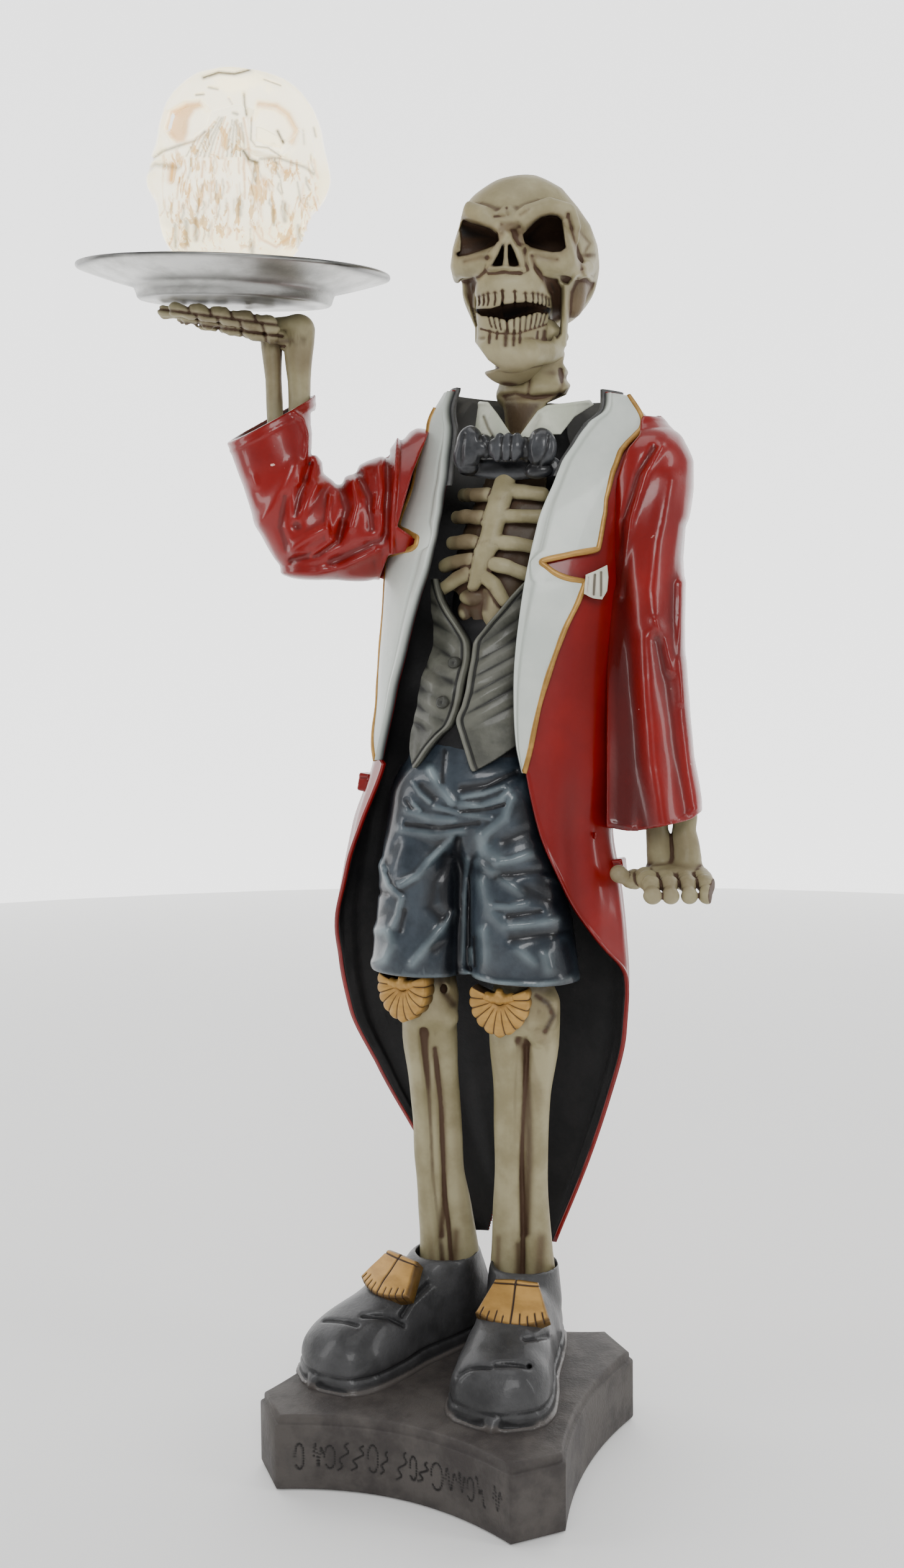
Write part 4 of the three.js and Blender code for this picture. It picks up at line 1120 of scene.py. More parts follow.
def build_skull(voxel, seed):
    """The block of the skull and open jaw, before its sockets, nose and mouth are cut."""
    clay = Clay((-62, -76, JAW_Z - 31), (62, 74, 56), voxel)
    # Brain case, face and temples
    clay.add(ball((0, 9, 0), (51.5, 54, 46.5)))
    clay.add(ball((0, -13, 6), (46, 44, 39)), ball((0, 20, -16), (46, 44, 38)), soft=14)
    clay.add(ball((0, -30, -26), (31, 27, 26)), ball((0, -6, -40), (28, 32, 17)), soft=9)
    clay.add(*mirrored(lambda s: ball((s * 37, 4, -34), (10, 13, 17))), soft=7)
    clay.add(*mirrored(lambda s: ball((s * 30, -40, -14), (16, 14, 17))), soft=8)
    clay.cut(*mirrored(lambda s: ball((s * 58, -25, 0), (12, 19, 24))), soft=9)
    # Brows and cheekbones
    brow = lambda s: limb([(s * 6, -57, 0), (s * 16, -58.5, 6), (s * 29, -53, 12), (s * 40, -41, 12),
                           (s * 44, -35, 2), (s * 43, -36, -12)], [4.5, 5.5, 5.5, 5, 4.2, 4])
    clay.add(*mirrored(brow), soft=5)
    arch = lambda s: limb([(s * 17, -52, -24), (s * 30, -47, -22), (s * 40, -38, -22), (s * 46, -22, -23),
                           (s * 49, -8, -17), (s * 49, 4, -14)], [5, 6, 6.5, 5.5, 4, 3.5], (0, 0, 1), 1.2)
    clay.add(*mirrored(arch), soft=4)
    clay.add(limb([(44, -26, -22), (46, -20, -30)], [4.5, 2.2]), soft=3)
    # Upper jaw and the bridge of the nose
    clay.add(ball((0, -41, -40), (24.5, 20, 15)), soft=6)
    clay.add(limb([(0, -56, 4), (0, -60.5, -9), (0, -61, -17)], [6, 5, 6]), soft=4)
    clay.add(ball((0, -55, -24), (12, 8.5, 12)), soft=4)
    clay.cut(*mirrored(lambda s: ball((s * 35, -36, -47), (7.5, 17, 15), turned(z=s * 14))), soft=4)
    clay.add(limb([(-11, -55, -31), (-5, -60, -32), (0, -61.5, -30.5), (5, -60, -32), (11, -55, -31)],
                  [1.8, 2, 2.2, 2, 1.8]), soft=2)
    # Lower jaw: a horseshoe that rises to the hinge behind the cheekbones
    jaw_bar = lambda s: limb([(s * 30, -10, JAW_Z - 4), (s * 27, -27, JAW_Z - 8), (s * 19, -43, JAW_Z - 12),
                              (s * 8, -50, JAW_Z - 14), (0, -51, JAW_Z - 14)], [6, 7, 8, 9, 9], (0, 0, 1),
                              1.12)
    clay.add(*mirrored(jaw_bar), soft=5)
    clay.add(*mirrored(lambda s: ball((s * 11, -50, JAW_Z - 17), (10, 9, 8))), soft=6)
    branch = lambda s: limb([(s * 30, -12, JAW_Z - 6), (s * 33, -10, JAW_Z + 14), (s * 37, -6, -22)],
                            [5, 3.6, 3.6], (0, 1, 0), 2.0)
    clay.add(*mirrored(branch), soft=3)
    clay.add(ball((0, -30, JAW_Z - 3), (23, 20, 8)), soft=3)
    gums = limb([(0, -26, -40), (0, -26, -78)], 25.5, (0, 1, 0), 1.16)
    clay.add(gums, soft=2)
    clay.press(lambda x, y, z: 0.35 * lumps(x, y, z, 13, seed) + 0.5 * lumps(x, y, z, 32, seed + 1))
    return clay


# Places on the face, read from the picture

UPPER_GAPS = [(772, 476), (779, 474), (786, 471), (797, 470), (809, 467), (829, 468), (846, 471),
              (858, 471),
              (866, 472), (873, 474), (879, 477), (884, 480)]
LOWER_GAPS = [(787, 508), (795, 509), (804, 512), (816, 512), (828, 510), (838, 508), (848, 506),
              (857, 505),
              (865, 504), (873, 503), (880, 501)]
LEFT_SOCKET = [(747, 353), (757, 358), (775, 363), (790, 368), (800, 377), (802, 388), (797, 395),
               (785, 400),
               (770, 405), (752, 411), (738, 413), (735, 409), (742, 404), (743, 390), (741, 370)]
RIGHT_SOCKET = [(845, 378), (850, 368), (862, 356), (872, 349), (885, 346), (898, 347), (904, 354),
                (907, 370),
                (909, 385), (911, 399), (903, 405), (890, 406), (870, 402), (855, 398), (847, 392)]
LEFT_NOSTRIL = [(812, 393), (808, 392), (802, 408), (795, 420), (791, 428), (800, 430), (809, 429),
                (811, 415)]
RIGHT_NOSTRIL = [(818, 395), (822, 393), (828, 405), (834, 420), (836, 428), (828, 430), (820, 429),
                 (818, 415)]
OPEN_MOUTH = [(762, 497), (790, 497), (810, 490), (830, 487), (850, 486), (870, 490), (889, 497),
              (885, 505),
              (865, 503), (850, 507), (832, 511), (817, 516), (795, 510), (776, 509), (768, 503)]
HEAD_NEAR, HEAD_FAR = 930, 1040
BESIDE_FACE = [(690, 290), (753, 305), (744, 345), (729, 400), (725, 430), (731, 455), (748, 489),
               (765, 528),
               (765, 551), (786, 580), (803, 593), (690, 620)]
BEHIND_HEAD = [(868, 281), (905, 303), (931, 334), (951, 363), (963, 395), (969, 432), (962, 480),
               (945, 510),
               (917, 534), (917, 553), (910, 566), (1010, 566), (1010, 270), (868, 270)]


def face_sketch(place):
    """Everything drawn on the face: brow, furrows, nose rim, tooth gaps, roots, and hollows darkened brown
    and black, partly painted shade.
    """
    face = Sketch(HEAD_NEAR, HEAD_FAR, place)
    for u, v in UPPER_GAPS:
        deep = 1.7 if u == 809 else 1.0
        face.line([(u, v + 2), (u + 1, v + 12), (u - 0.5, 492)], 1.5 * deep**0.5, 1.3 * deep, black=0.85)
        face.line([(u - 3, v + 2), (u, v - 1), (u + 3, v + 2)], 1.6, 0.5, brown=0.8)
    for u, v in LOWER_GAPS:
        deep = 1.6 if u == 816 else 1.0
        lean = (u - 830) * 0.06
        face.line([(u, v + 2), (u - lean, v + 14), (u - lean * 2, 537 - abs(u - 826) * 0.25)],
                  1.5 * deep**0.5,
                  1.2 * deep, black=0.8)
    face.line([(775, 530), (800, 537), (832, 538), (865, 528), (888, 520)], 1.8, 0.9, brown=0.95)
    for u, low, wide in ((789, 552, 2.6), (801, 546, 2), (815, 556, 3.6), (828, 556, 2.6), (838, 552, 2.2),
                         (866, 544, 2), (877, 545, 3.2)):
        face.line([(u, 534), (u - 1, low)], wide, 0.9, brown=1.0, black=0.45)
    face.line([(768, 497), (810, 491), (850, 486), (888, 496)], 3.0, -0.5)
    # Nose rim, the hollow above it and the brow
    face.line([(817, 378), (803, 400), (788, 431)], 4.0, -1.5)
    face.line([(820, 378), (834, 402), (842, 433)], 4.0, -1.5)
    face.line([(786, 433), (815, 430), (843, 434)], 3.0, -1.2)
    face.line([(787, 441), (815, 438), (838, 441)], 2.6, 0.6, brown=0.5)
    face.patch([(806, 358), (835, 357), (846, 372), (845, 396), (832, 396), (824, 376), (814, 374),
                (804, 390),
                (800, 372)], 5, 1.4, brown=0.75)
    face.line([(752, 350), (775, 357), (800, 366), (806, 372)], 5, -1.3)
    face.line([(838, 372), (850, 362), (868, 346), (888, 341), (905, 345)], 5, -1.3)
    face.line([(796, 349), (812, 348)], 3, 0.7, brown=0.6)
    face.line([(816, 336), (818, 346)], 3, 0.7, brown=0.5)
    face.line([(838, 346), (851, 337)], 3, 0.7, brown=0.55)
    face.line([(748, 421), (775, 414), (790, 416)], 5, 1.0, brown=0.65)
    face.line([(786, 433), (772, 446), (756, 452)], 3.5, 1.0, brown=0.8)
    face.line([(862, 412), (880, 416), (897, 418)], 5, 1.0, brown=0.65)
    face.line([(856, 412), (862, 430), (876, 452), (886, 470)], 4, 1.4, brown=0.9)
    face.line([(846, 400), (848, 420), (850, 434)], 3, 0.6, brown=0.45)
    # Hollows beside the teeth, the bars of the jaw and the space behind them, darkened brown and black as
    # painted shade
    face.patch([(744, 453), (762, 447), (768, 455), (763, 475), (763, 500), (768, 524), (762, 505),
                (752, 478),
                (742, 466)], 3, 2.4, brown=1.0, black=0.5)
    face.patch([(877, 446), (897, 450), (903, 465), (903, 538), (897, 545), (888, 530), (890, 500),
                (887, 478)],
               3, 3.0, brown=1.0, black=0.8)
    face.line([(910, 462), (911, 500), (912, 555)], 4.5, -1.6)
    face.patch([(918, 470), (930, 447), (945, 450), (957, 455), (957, 480), (948, 505), (930, 520),
                (916, 531),
                (916, 490)], 4, 2.2, brown=0.85)
    face.line([(915, 345), (925, 385), (935, 420), (938, 438)], 4.5, 1.4, brown=0.75)
    face.line([(933, 372), (950, 392), (940, 410), (956, 410)], 5, 0.5, brown=0.45)
    face.line([(900, 455), (915, 460), (930, 442), (940, 438), (952, 451)], 3, -1.4)
    return face


def make_head():
    place = placed_at(HEAD_AT, HEAD_YAW, HEAD_TILT)
    clay = build_skull(HEAD_VOXEL, 7)
    for corners, far in ((LEFT_SOCKET, 1006), (RIGHT_SOCKET, 1010)):
        clay.cut(well(corners, 900, far, place), soft=2.0)
    for corners in (LEFT_NOSTRIL, RIGHT_NOSTRIL):
        clay.cut(well(corners, 900, 992, place), soft=0.8)
    clay.cut(well(OPEN_MOUTH, 900, 1010, place), soft=1.2)
    clay.cut(well(BESIDE_FACE, 880, 1130, place), well(BEHIND_HEAD, 880, 1130, place), soft=3)
    face = face_sketch(place)
    clay.draw(face)
    skin = clay.skin(fine=1.8, broad=7)
    # The sockets, nostrils and mouth are painted black with brown rims; inside the open mouth this black is
    # painted shade.
    for corners, blur in ((LEFT_SOCKET, 3), (RIGHT_SOCKET, 3), (LEFT_NOSTRIL, 1.5), (RIGHT_NOSTRIL, 1.5),
                          (OPEN_MOUTH, 1.5)):
        face.patch(corners, blur, 0, black=1.0, brown=1.0)
        face.line(corners + corners[:1], blur * 2.2, 0, brown=0.55)
    skin = face.colour(skin)
    under = ramp(-skin.points[:, 2], 86, 100) * 0.3
    skin.marks["brown"] = np.clip(skin.marks["brown"] + under, 0, 1)
    figure_piece("skull", skin.moved(place), BONE)


# Neck: stacked vertebrae, round and worn

LEFT_OF_NECK = [(700, 585), (797, 585), (795, 615), (798, 640), (800, 690), (816, 740), (700, 740)]
RIGHT_OF_NECK = [(990, 550), (912, 560), (907, 585), (918, 603), (920, 620), (912, 636), (880, 650),
                 (858, 700),
                 (850, 740), (990, 740)]


def make_neck():
    clay = Clay((-6, 34, 690), (92, 126, 808), 1.0)
    clay.add(limb([(43, 80, 700), (42, 80, 742), (40, 78, 770), (38, 76, 800)], [20, 24, 24, 21]))
    for z, r, tall in ((736, 23, 10), (757, 30, 11.5), (779, 29.5, 12), (798, 26, 9)):
        lean = (z - 754) * 0.05
        clay.add(ball((42 - lean, 80 - lean, z), (r, r * 0.88, tall)), soft=5)
    neck = Sketch(930, 1030)
    # Brown and black under the skull, between the vertebrae and down to the collar: painted shade.
    neck.line([(798, 640), (830, 634), (860, 640), (895, 636), (925, 628)], 4, 1.6, brown=0.9)
    neck.line([(800, 605), (818, 606)], 3, 0.6, brown=0.4)
    neck.patch([(818, 610), (845, 604), (853, 610), (842, 619), (820, 620)], 3, 1.8, brown=1.0, black=0.3)
    neck.line([(851, 592), (853, 612), (851, 634)], 3, 1.2, brown=0.85)
    neck.line([(848, 590), (870, 581), (897, 575), (912, 562)], 6, 1.5, brown=1.0, black=0.3)
    neck.patch([(783, 646), (870, 650), (838, 702), (822, 702)], 5, 0, brown=1.0, black=0.35)
    neck.line([(800, 644), (850, 641), (915, 642)], 5, 1.0, brown=0.8)
    neck.line([(903, 596), (905, 622), (900, 636)], 4, 1.0, brown=0.7)
    clay.press(lambda x, y, z: 0.7 * lumps(x, y, z, 12, 31))
    clay.cut(well(LEFT_OF_NECK, 880, 1200), well(RIGHT_OF_NECK, 880, 1200), soft=1.5)
    clay.draw(neck)
    skin = neck.colour(clay.skin(fine=2, broad=6))
    stain = np.clip(0.35 * lumps(*skin.points.T, 20, 9), 0, 0.4)
    skin.marks["brown"] = np.clip(np.maximum(skin.marks["brown"], stain), 0, 1)
    figure_piece("neck", skin, BONE)


make_head()
make_neck()


# Trunk under the clothes: x, y, z, reach across and reach front to back
TRUNK = [(0, 54, 470, 54, 40), (2, 55, 540, 42, 37), (8, 68, 580, 38, 31), (13, 67, 608, 42, 36),
         (24, 73, 655, 44, 36), (36, 84, 700, 42, 34), (40, 86, 730, 32, 26)]
TRUNK_Z = [row[2] for row in TRUNK]
TRUNK_ROWS = [(row[0], row[1], row[3], row[4]) for row in TRUNK]


def trunk_at(z):
    return spline(TRUNK_Z, TRUNK_ROWS, z)


TRUNK_CLEAR = 9.0


def make_trunk():
    """The dark core behind the ribs and inside the coat."""
    levels = np.linspace(472, 738, 90)
    a = np.linspace(0, 2 * math.pi, 90, endpoint=False)
    rings = []
    for z in levels:
        cx, cy, rx, ry = trunk_at(z)
        shrink = 9.5 * ramp(z, 585, 600)
        wave = 0.5 * lumps(a * 20, z, 0, 18, 6)
        coat_back = coat_points(z, 180, -TRUNK_CLEAR)[..., 1]
        y = np.minimum(cy - np.cos(a) * (ry - shrink + wave), coat_back)
        rings.append(np.stack([cx + np.sin(a) * (rx - shrink + wave), y, np.full(len(a), z)], 1))
    core = stack_of(rings)
    figure_piece("inner_trunk", core, INNER)


def on_chest(u, v, lift=0.0):
    """The point of the trunk's front that shows at a point of the picture."""
    y = 34.0
    for _ in range(8):
        x, _, z = seen(u, v, y)
        cx, cy, rx, ry = trunk_at(z)
        across = min(abs(x - cx) / (rx + 4), 0.97)
        y = cy - math.sqrt(1 - across**2) * (ry + lift)
    return seen(u, v, y)


RIB_LINES = [
    [(785, 797), (765, 797), (747, 798)], [(775, 833), (752, 832), (736, 834)],
    [(765, 873), (743, 873), (728, 875)], [(758, 902), (735, 905), (716, 912)],
    [(752, 925), (735, 933), (714, 948)], [(822, 791), (845, 793), (874, 797)],
    [(812, 831), (840, 832), (876, 832)], [(802, 873), (830, 876), (862, 882)],
    [(795, 909), (820, 914), (852, 927)], [(784, 932), (797, 943), (812, 968)],
]
BREASTBONE = [(816, 768), (806, 800), (795, 840), (783, 885), (771, 920), (763, 944)]
BEHIND_RIBS = [(744, 772), (790, 768), (880, 768), (872, 860), (852, 945), (812, 1030), (772, 1010),
               (722, 935),
               (728, 850)]


def chest_sketch():
    # Brown and black painted shade beside the lapel, below the rib cage and under the rib edges.
    chest = Sketch(900, 1040)
    chest.patch([(738, 768), (786, 768), (770, 850), (750, 925), (722, 935), (728, 850)], 8, 0, brown=0.7)
    chest.patch([(744, 950), (790, 950), (786, 985), (760, 985)], 6, 0, brown=0.95, black=0.3)
    chest.patch([(780, 975), (822, 975), (815, 1030), (775, 1020)], 5, 0, brown=0.35)
    chest.line([(798, 803), (818, 802)], 1.5, 0.4, brown=0.4)
    chest.line([(767, 876), (790, 870)], 1.5, 0.4, brown=0.4)
    return chest


def make_ribs():
    clay = Clay((-46, 4, 540), (96, 112, 712), 0.9)
    bar = [on_chest(u, v, 2.0) for u, v in BREASTBONE]
    clay.add(limb(bar, [5, 5.4, 5.4, 5.2, 4.6, 3.6], (1, 0, 0.2), [1.55, 1.95, 2.0, 1.75, 1.5, 1.25]))
    for line in RIB_LINES:
        clay.add(limb([on_chest(u, v, 0.5) for u, v in line], [4.8, 5.0, 4.6], (0, 0, 1), 1.06), soft=1.2)
    clay.add(limb([on_chest(806, 1022, -8), on_chest(796, 985, -8), on_chest(790, 955, -8)], [10, 9, 7]),
             soft=2)
    clay.add(ball(on_chest(764, 962, -8), (12, 8, 7)), ball(on_chest(750, 985, -9), (6, 6, 8)), soft=2)

    def under(x, y, z):
        cx, cy, rx, ry = np.moveaxis(trunk_at(z), -1, 0)
        return (np.sqrt(((x - cx) / rx) ** 2 + ((y - cy) / ry) ** 2) - 1) * ry + 4.5
    low, high, outline = well(BEHIND_RIBS, 880, 1040)
    clay.add((low, high, lambda x, y, z: np.maximum(under(x, y, z), outline(x, y, z))), soft=1)
    clay.press(lambda x, y, z: 0.5 * lumps(x, y, z, 9, 41) + 0.3 * lumps(x, y, z, 20, 42))
    skin = chest_sketch().colour(clay.skin(fine=1.8, broad=5))
    # Brown and black where the ribs meet the body behind them: painted shade.
    behind = 1 - ramp(np.abs(under(*skin.points.T)), 1.2, 2.2)
    skin.marks["brown"] = np.clip(np.maximum(skin.marks["brown"], behind), 0, 1)
    skin.marks["black"] = np.maximum(skin.marks.get("black", 0), behind * 0.45)
    figure_piece("ribs", skin, BONE)


# Waistcoat: two fronts on the trunk. Rows are z, then x of the far and the near edge.
VEST_RIGHT = [(485, -31, -29), (488, -32, -26), (500, -34.5, -16), (508, -34, -8), (516, -32, 1),
              (528, -29, 6),
              (540, -27.5, 8.5), (556, -26, 9.5), (573, -24, 7), (585, -24, 0), (597, -24.5, -8),
              (610, -25, -15),
              (622, -26, -20)]
VEST_LEFT = [(483, 18, 16.5), (488, 27, 14.5), (496, 39, 12), (508, 52, 8), (519, 56, 5), (530, 57, 9),
             (545, 58, 12), (560, 58, 11.5), (573, 58, 10.5), (585, 59, 19), (597, 60, 31), (608, 60, 41),
             (620, 60, 52)]


def on_vest(x, z, lift):
    cx, cy, rx, ry = np.moveaxis(trunk_at(z), -1, 0)
    across = np.clip(np.abs(x - cx) / (rx + 16), 0, 0.97)
    return np.stack([x, cy - np.sqrt(1 - across**2) * (ry + 7 + lift), z + 0 * x], axis=-1)


def vest_front(name, rows, lift, ridge):
    z = np.linspace(rows[0][0], rows[-1][0], 180)
    far, near = spline([r[0] for r in rows], [r[1:] for r in rows], z).T
    t = np.linspace(0, 1, 110)
    x = far[:, None] + (near - far)[:, None] * t
    zz = np.repeat(z[:, None], len(t), 1)
    wide = np.abs(near - far)[:, None] + 0 * x
    from_near = (1 - t)[None, :] * wide
    from_low = (zz - rows[0][0])
    relief = ridge(x, zz)
    trim = np.minimum(from_near, 12)
    welt = 0.9 * np.exp(-((trim - 2.0) / 1.7) ** 2) - 0.8 * np.exp(-((trim - 5.0) / 0.9) ** 2)
    edge = -1.6 * np.exp(-(trim / 0.7) ** 2) - 1.2 * np.exp(-(from_low / 1.2) ** 2)
    outer = on_vest(x, zz, lift + relief * ramp(trim, 4, 9) + welt + edge)
    inner = on_vest(x, zz, np.full_like(x, lift - 9.0))
    # Pale on the raised pulls, partly pale paint and partly painted highlight, and pale on the raised edge
    # band; the dark in the valleys and the groove beside the band is painted shade.
    pale = np.clip(relief * 0.28, 0, 0.8) * ramp(trim, 4, 9) + 0.55 * np.exp(-((trim - 2.0) / 1.4) ** 2)
    dark = np.clip(-relief * 0.45, 0, 1) * ramp(trim, 4, 9) + 0.7 * np.exp(-((trim - 5.0) / 0.9) ** 2)
    skin = shell_of(outer, inner, {"pale": pale, "crease": dark}, {"black": 1.0})
    figure_piece(name, skin, WAISTCOAT)


def pulls(x, z, start, slope, spacing, seed):
    """Slanting pulls in the cloth: rounded ridges with sharp valleys between them."""
    phase = (z - slope * x + 2.5 * lumps(x, z, 0, 40, seed)) / spacing + start
    wave = np.abs((phase % 1) * 2 - 1)
    return 1.6 * (wave**0.8 - 0.5)


def make_waistcoat():
    def right(x, z):
        return pulls(x, z, 0.1, -0.55, 15, 51) * ramp(z, 505, 520) + 0.7 * lumps(x, 0, z, 13, 52)

    def left(x, z):
        return pulls(x, z, 0.35, 0.62, 12.5, 53) * ramp(z, 508, 530) * 1.15 + 0.35 * lumps(x, 0, z, 14, 54)

    vest_front("waistcoat_right", VEST_RIGHT, 1.4, right)
    vest_front("waistcoat_left", VEST_LEFT, 2.6, left)
    buttons = []
    for x, z in ((-0.5, 560), (-5.5, 532)):
        at = on_vest(np.array([x]), np.array([float(z)]), 0)[0]
        clay = Clay(at - 8, at + 8, 0.4)
        face = turned(z=-8)
        clay.add(limb([at + (0, 2, 0), at + (0.4, -2.6, 0)], 4.6), soft=0)
        clay.cut(slab(at + (0.5, -8.0, 0), (7, 1.5, 7), face, 0.2), soft=0.6)
        clay.cut(ball(at + (0.5, -8.6, 0), (3.4, 3.0, 3.4)), soft=0.8)
        buttons.append(clay.skin(fine=0.8, broad=2).marked(black=0.55))
    figure_piece("waistcoat_buttons", joined(buttons), WAISTCOAT)


# Bow tie, collar wings and the dark band inside the coat's collar

TIE_Y = 36.0
LEFT_WING = [(757, 647), (786, 648), (802, 668), (822, 699), (800, 708), (778, 700), (755, 692)]
RIGHT_WING = [(838, 702), (853, 680), (866, 662), (880, 653), (915, 649), (950, 644), (957, 652),
              (925, 672),
              (903, 700), (890, 700), (850, 710)]


# Folds of the bow tie: places in the picture, width, how far pressed in and how black; the black in the
# folds and in the band under the tie is painted shade.
TIE_FOLDS = [
    ([(748, 700), (744, 722), (742, 750)], 4, 1.0, 0.35),
    ([(766, 698), (770, 720), (764, 745)], 5, -0.8),
    ([(862, 700), (856, 722), (860, 744)], 4, -0.8),
    ([(884, 702), (880, 725), (868, 750)], 2.5, 1.0, 0.7),
    ([(774, 705), (786, 722), (776, 742)], 4, 0.8, 0.8),
    ([(850, 704), (842, 722), (846, 740)], 4, 0.8, 0.8),
    ([(808, 705), (807, 738)], 2, 0.6, 0.9),
    ([(823, 704), (822, 740)], 2, 0.6, 0.9),
    ([(745, 764), (800, 752), (850, 752), (895, 750)], 8, 0.8, 1.0),
]


# Folds of the collar wings: places in the picture, width, how far pressed in and how brown; the brown is
# painted shade.
WING_FOLDS = [
    ([(779, 672), (786, 690), (794, 704)], 2.5, 1.2, 0.8),
    ([(772, 652), (770, 690)], 7, -0.8),
    ([(760, 650), (786, 651), (820, 698)], 2.5, -0.6),
    ([(840, 700), (868, 664), (884, 655), (948, 648)], 2.5, -0.6),
    ([(868, 672), (858, 696)], 5, 0.7, 0.3),
]


def make_bow_tie():
    clay = Clay((-22, 14, 680), (84, 62, 736), 0.65)
    at = lambda u, v, y=TIE_Y: seen(u, v, y)
    clay.add(ball(at(757, 720), (10.5, 8, 15)), ball(at(745, 735), (7, 6, 10)), soft=2)
    clay.add(ball(at(872, 722), (11, 8, 14.5)), soft=2)
    clay.add(ball(at(868, 757, 39), (10.5, 6, 6.5)), ball(at(755, 757, 38), (8, 5, 5)), soft=1)
    clay.add(ball(at(781, 720), (6, 6, 8.5)), ball(at(848, 722), (6, 6, 8.5)), soft=1.5)
    clay.add(limb([at(800, 722, 32), at(833, 722, 32)], [7.2, 7.2], (0, 1, 0), 0.75), soft=1.5)
    for u in (803, 817, 831):
        clay.add(limb([at(u + 2, 704, 31), at(u, 720, 30), at(u - 2, 738, 31)], [3.0, 3.4, 3.0]), soft=2.2)
    clay.add(limb([at(752, 752, 44), at(820, 757, 46), at(890, 752, 44)], [7, 8, 7], (0, 1, 0), 0.6),
             soft=2)
    tie = Sketch(880, 1040)
    tie.lines(TIE_FOLDS, "black")
    clay.draw(tie)
    clay.press(lambda x, y, z: 0.35 * lumps(x, y, z, 9, 61))
    skin = tie.colour(clay.skin(fine=1.6, broad=5))
    figure_piece("bow_tie", skin, SILK)


def make_collar_wings():
    wings = Clay((-14, 26, 700), (92, 92, 768), 0.75)
    for corners in (LEFT_WING, RIGHT_WING):
        low, high, outline = well(corners, 880, 1034)

        def sheet(x, y, z):
            flare = (748 - z) * 0.16
            round_neck = np.sqrt(((x - 41) / (43 + flare)) ** 2 + ((y - 84) / (40 + flare)) ** 2) - 1
            return np.maximum(outline(x, y, z), np.abs(round_neck) * 41 - 1.5)
        wings.add((low, high, sheet), soft=0.5)
    folds = Sketch(880, 1040)
    folds.lines(WING_FOLDS, "brown")
    wings.draw(folds)
    skin = wings.skin(fine=1.6, broad=5)
    skin.marks["crease"] = skin.marks["crease"] * 0.5
    figure_piece("collar_wings", folds.colour(skin), LINEN)


def make_collar_band():
    """The grey collar that stands up inside the lapels."""
    z = np.linspace(690, 766, 60)
    bands = []
    for sign, rows in ((1, LAPEL_LEFT_IN), (-1, LAPEL_RIGHT_IN)):
        inside = edge_at(rows, np.minimum(z, 764))
        t = np.linspace(0, 1, 40)
        angle = sign * (inside[:, None] - 1.5 + 26 * t[None, :])
        zz = np.repeat(z[:, None], 40, 1)
        ridge = 0.8 * np.exp(-((t - 0.08) / 0.06) ** 2)[None, :]
        outer = coat_points(zz, angle, -2.6)
        inner = coat_points(zz, angle, -5.4 - ridge)
        bands.append(shell_of(outer, inner, {"crease": 0}, {"crease": 0.1 * np.sin(zz * 0.4)}))
    figure_piece("inner_collar", joined(bands), COLLAR)


make_trunk()
make_ribs()
make_waistcoat()
make_bow_tie()
make_collar_wings()
make_collar_band()


# Tray, in a frame whose middle is the middle of its foot and which leans a little

TRAY_AT = (-160, -8, 825)
TRAY_FLOOR = 4.0
TILT_FRONT = 11.0
TILT_SIDE = 2.2
VIEW_SIDE = 23.0


def tray_matrix():
    a = math.radians(VIEW_SIDE)
    front = Vector((math.sin(a), -math.cos(a), 0))
    side = Vector((math.cos(a), math.sin(a), 0))
    lean_front, lean_side = (math.tan(math.radians(tilt)) for tilt in (TILT_FRONT, TILT_SIDE))
    up = Vector((0, 0, 1)) + front * lean_front + side * lean_side
    turn = Vector((0, 0, 1)).rotation_difference(up.normalized())
    return Matrix.Translation(TRAY_AT) @ turn.to_matrix().to_4x4()


TRAY_PROFILE = [(0, 0), (40, 0), (66, 0), (69, 0.4), (70.4, 1.6), (71.4, 5), (72.6, 8), (74.5, 9.3),
                (77, 10),
                (86, 12.2), (96, 15), (106, 18), (111, 19.6), (112.6, 20.2), (113, 21.2), (112.7, 22.2),
                (111.6, 22.6),
                (110, 22.2), (108.6, 21.4), (104, 20.2), (94, 17.4), (84, 14.9), (78, 13.6), (75, 12.2),
                (71.5, 8.6),
                (69, 5.6), (66.5, 4.3), (63, 4), (58, 3.7), (54, 4), (20, 4), (0, 4)]


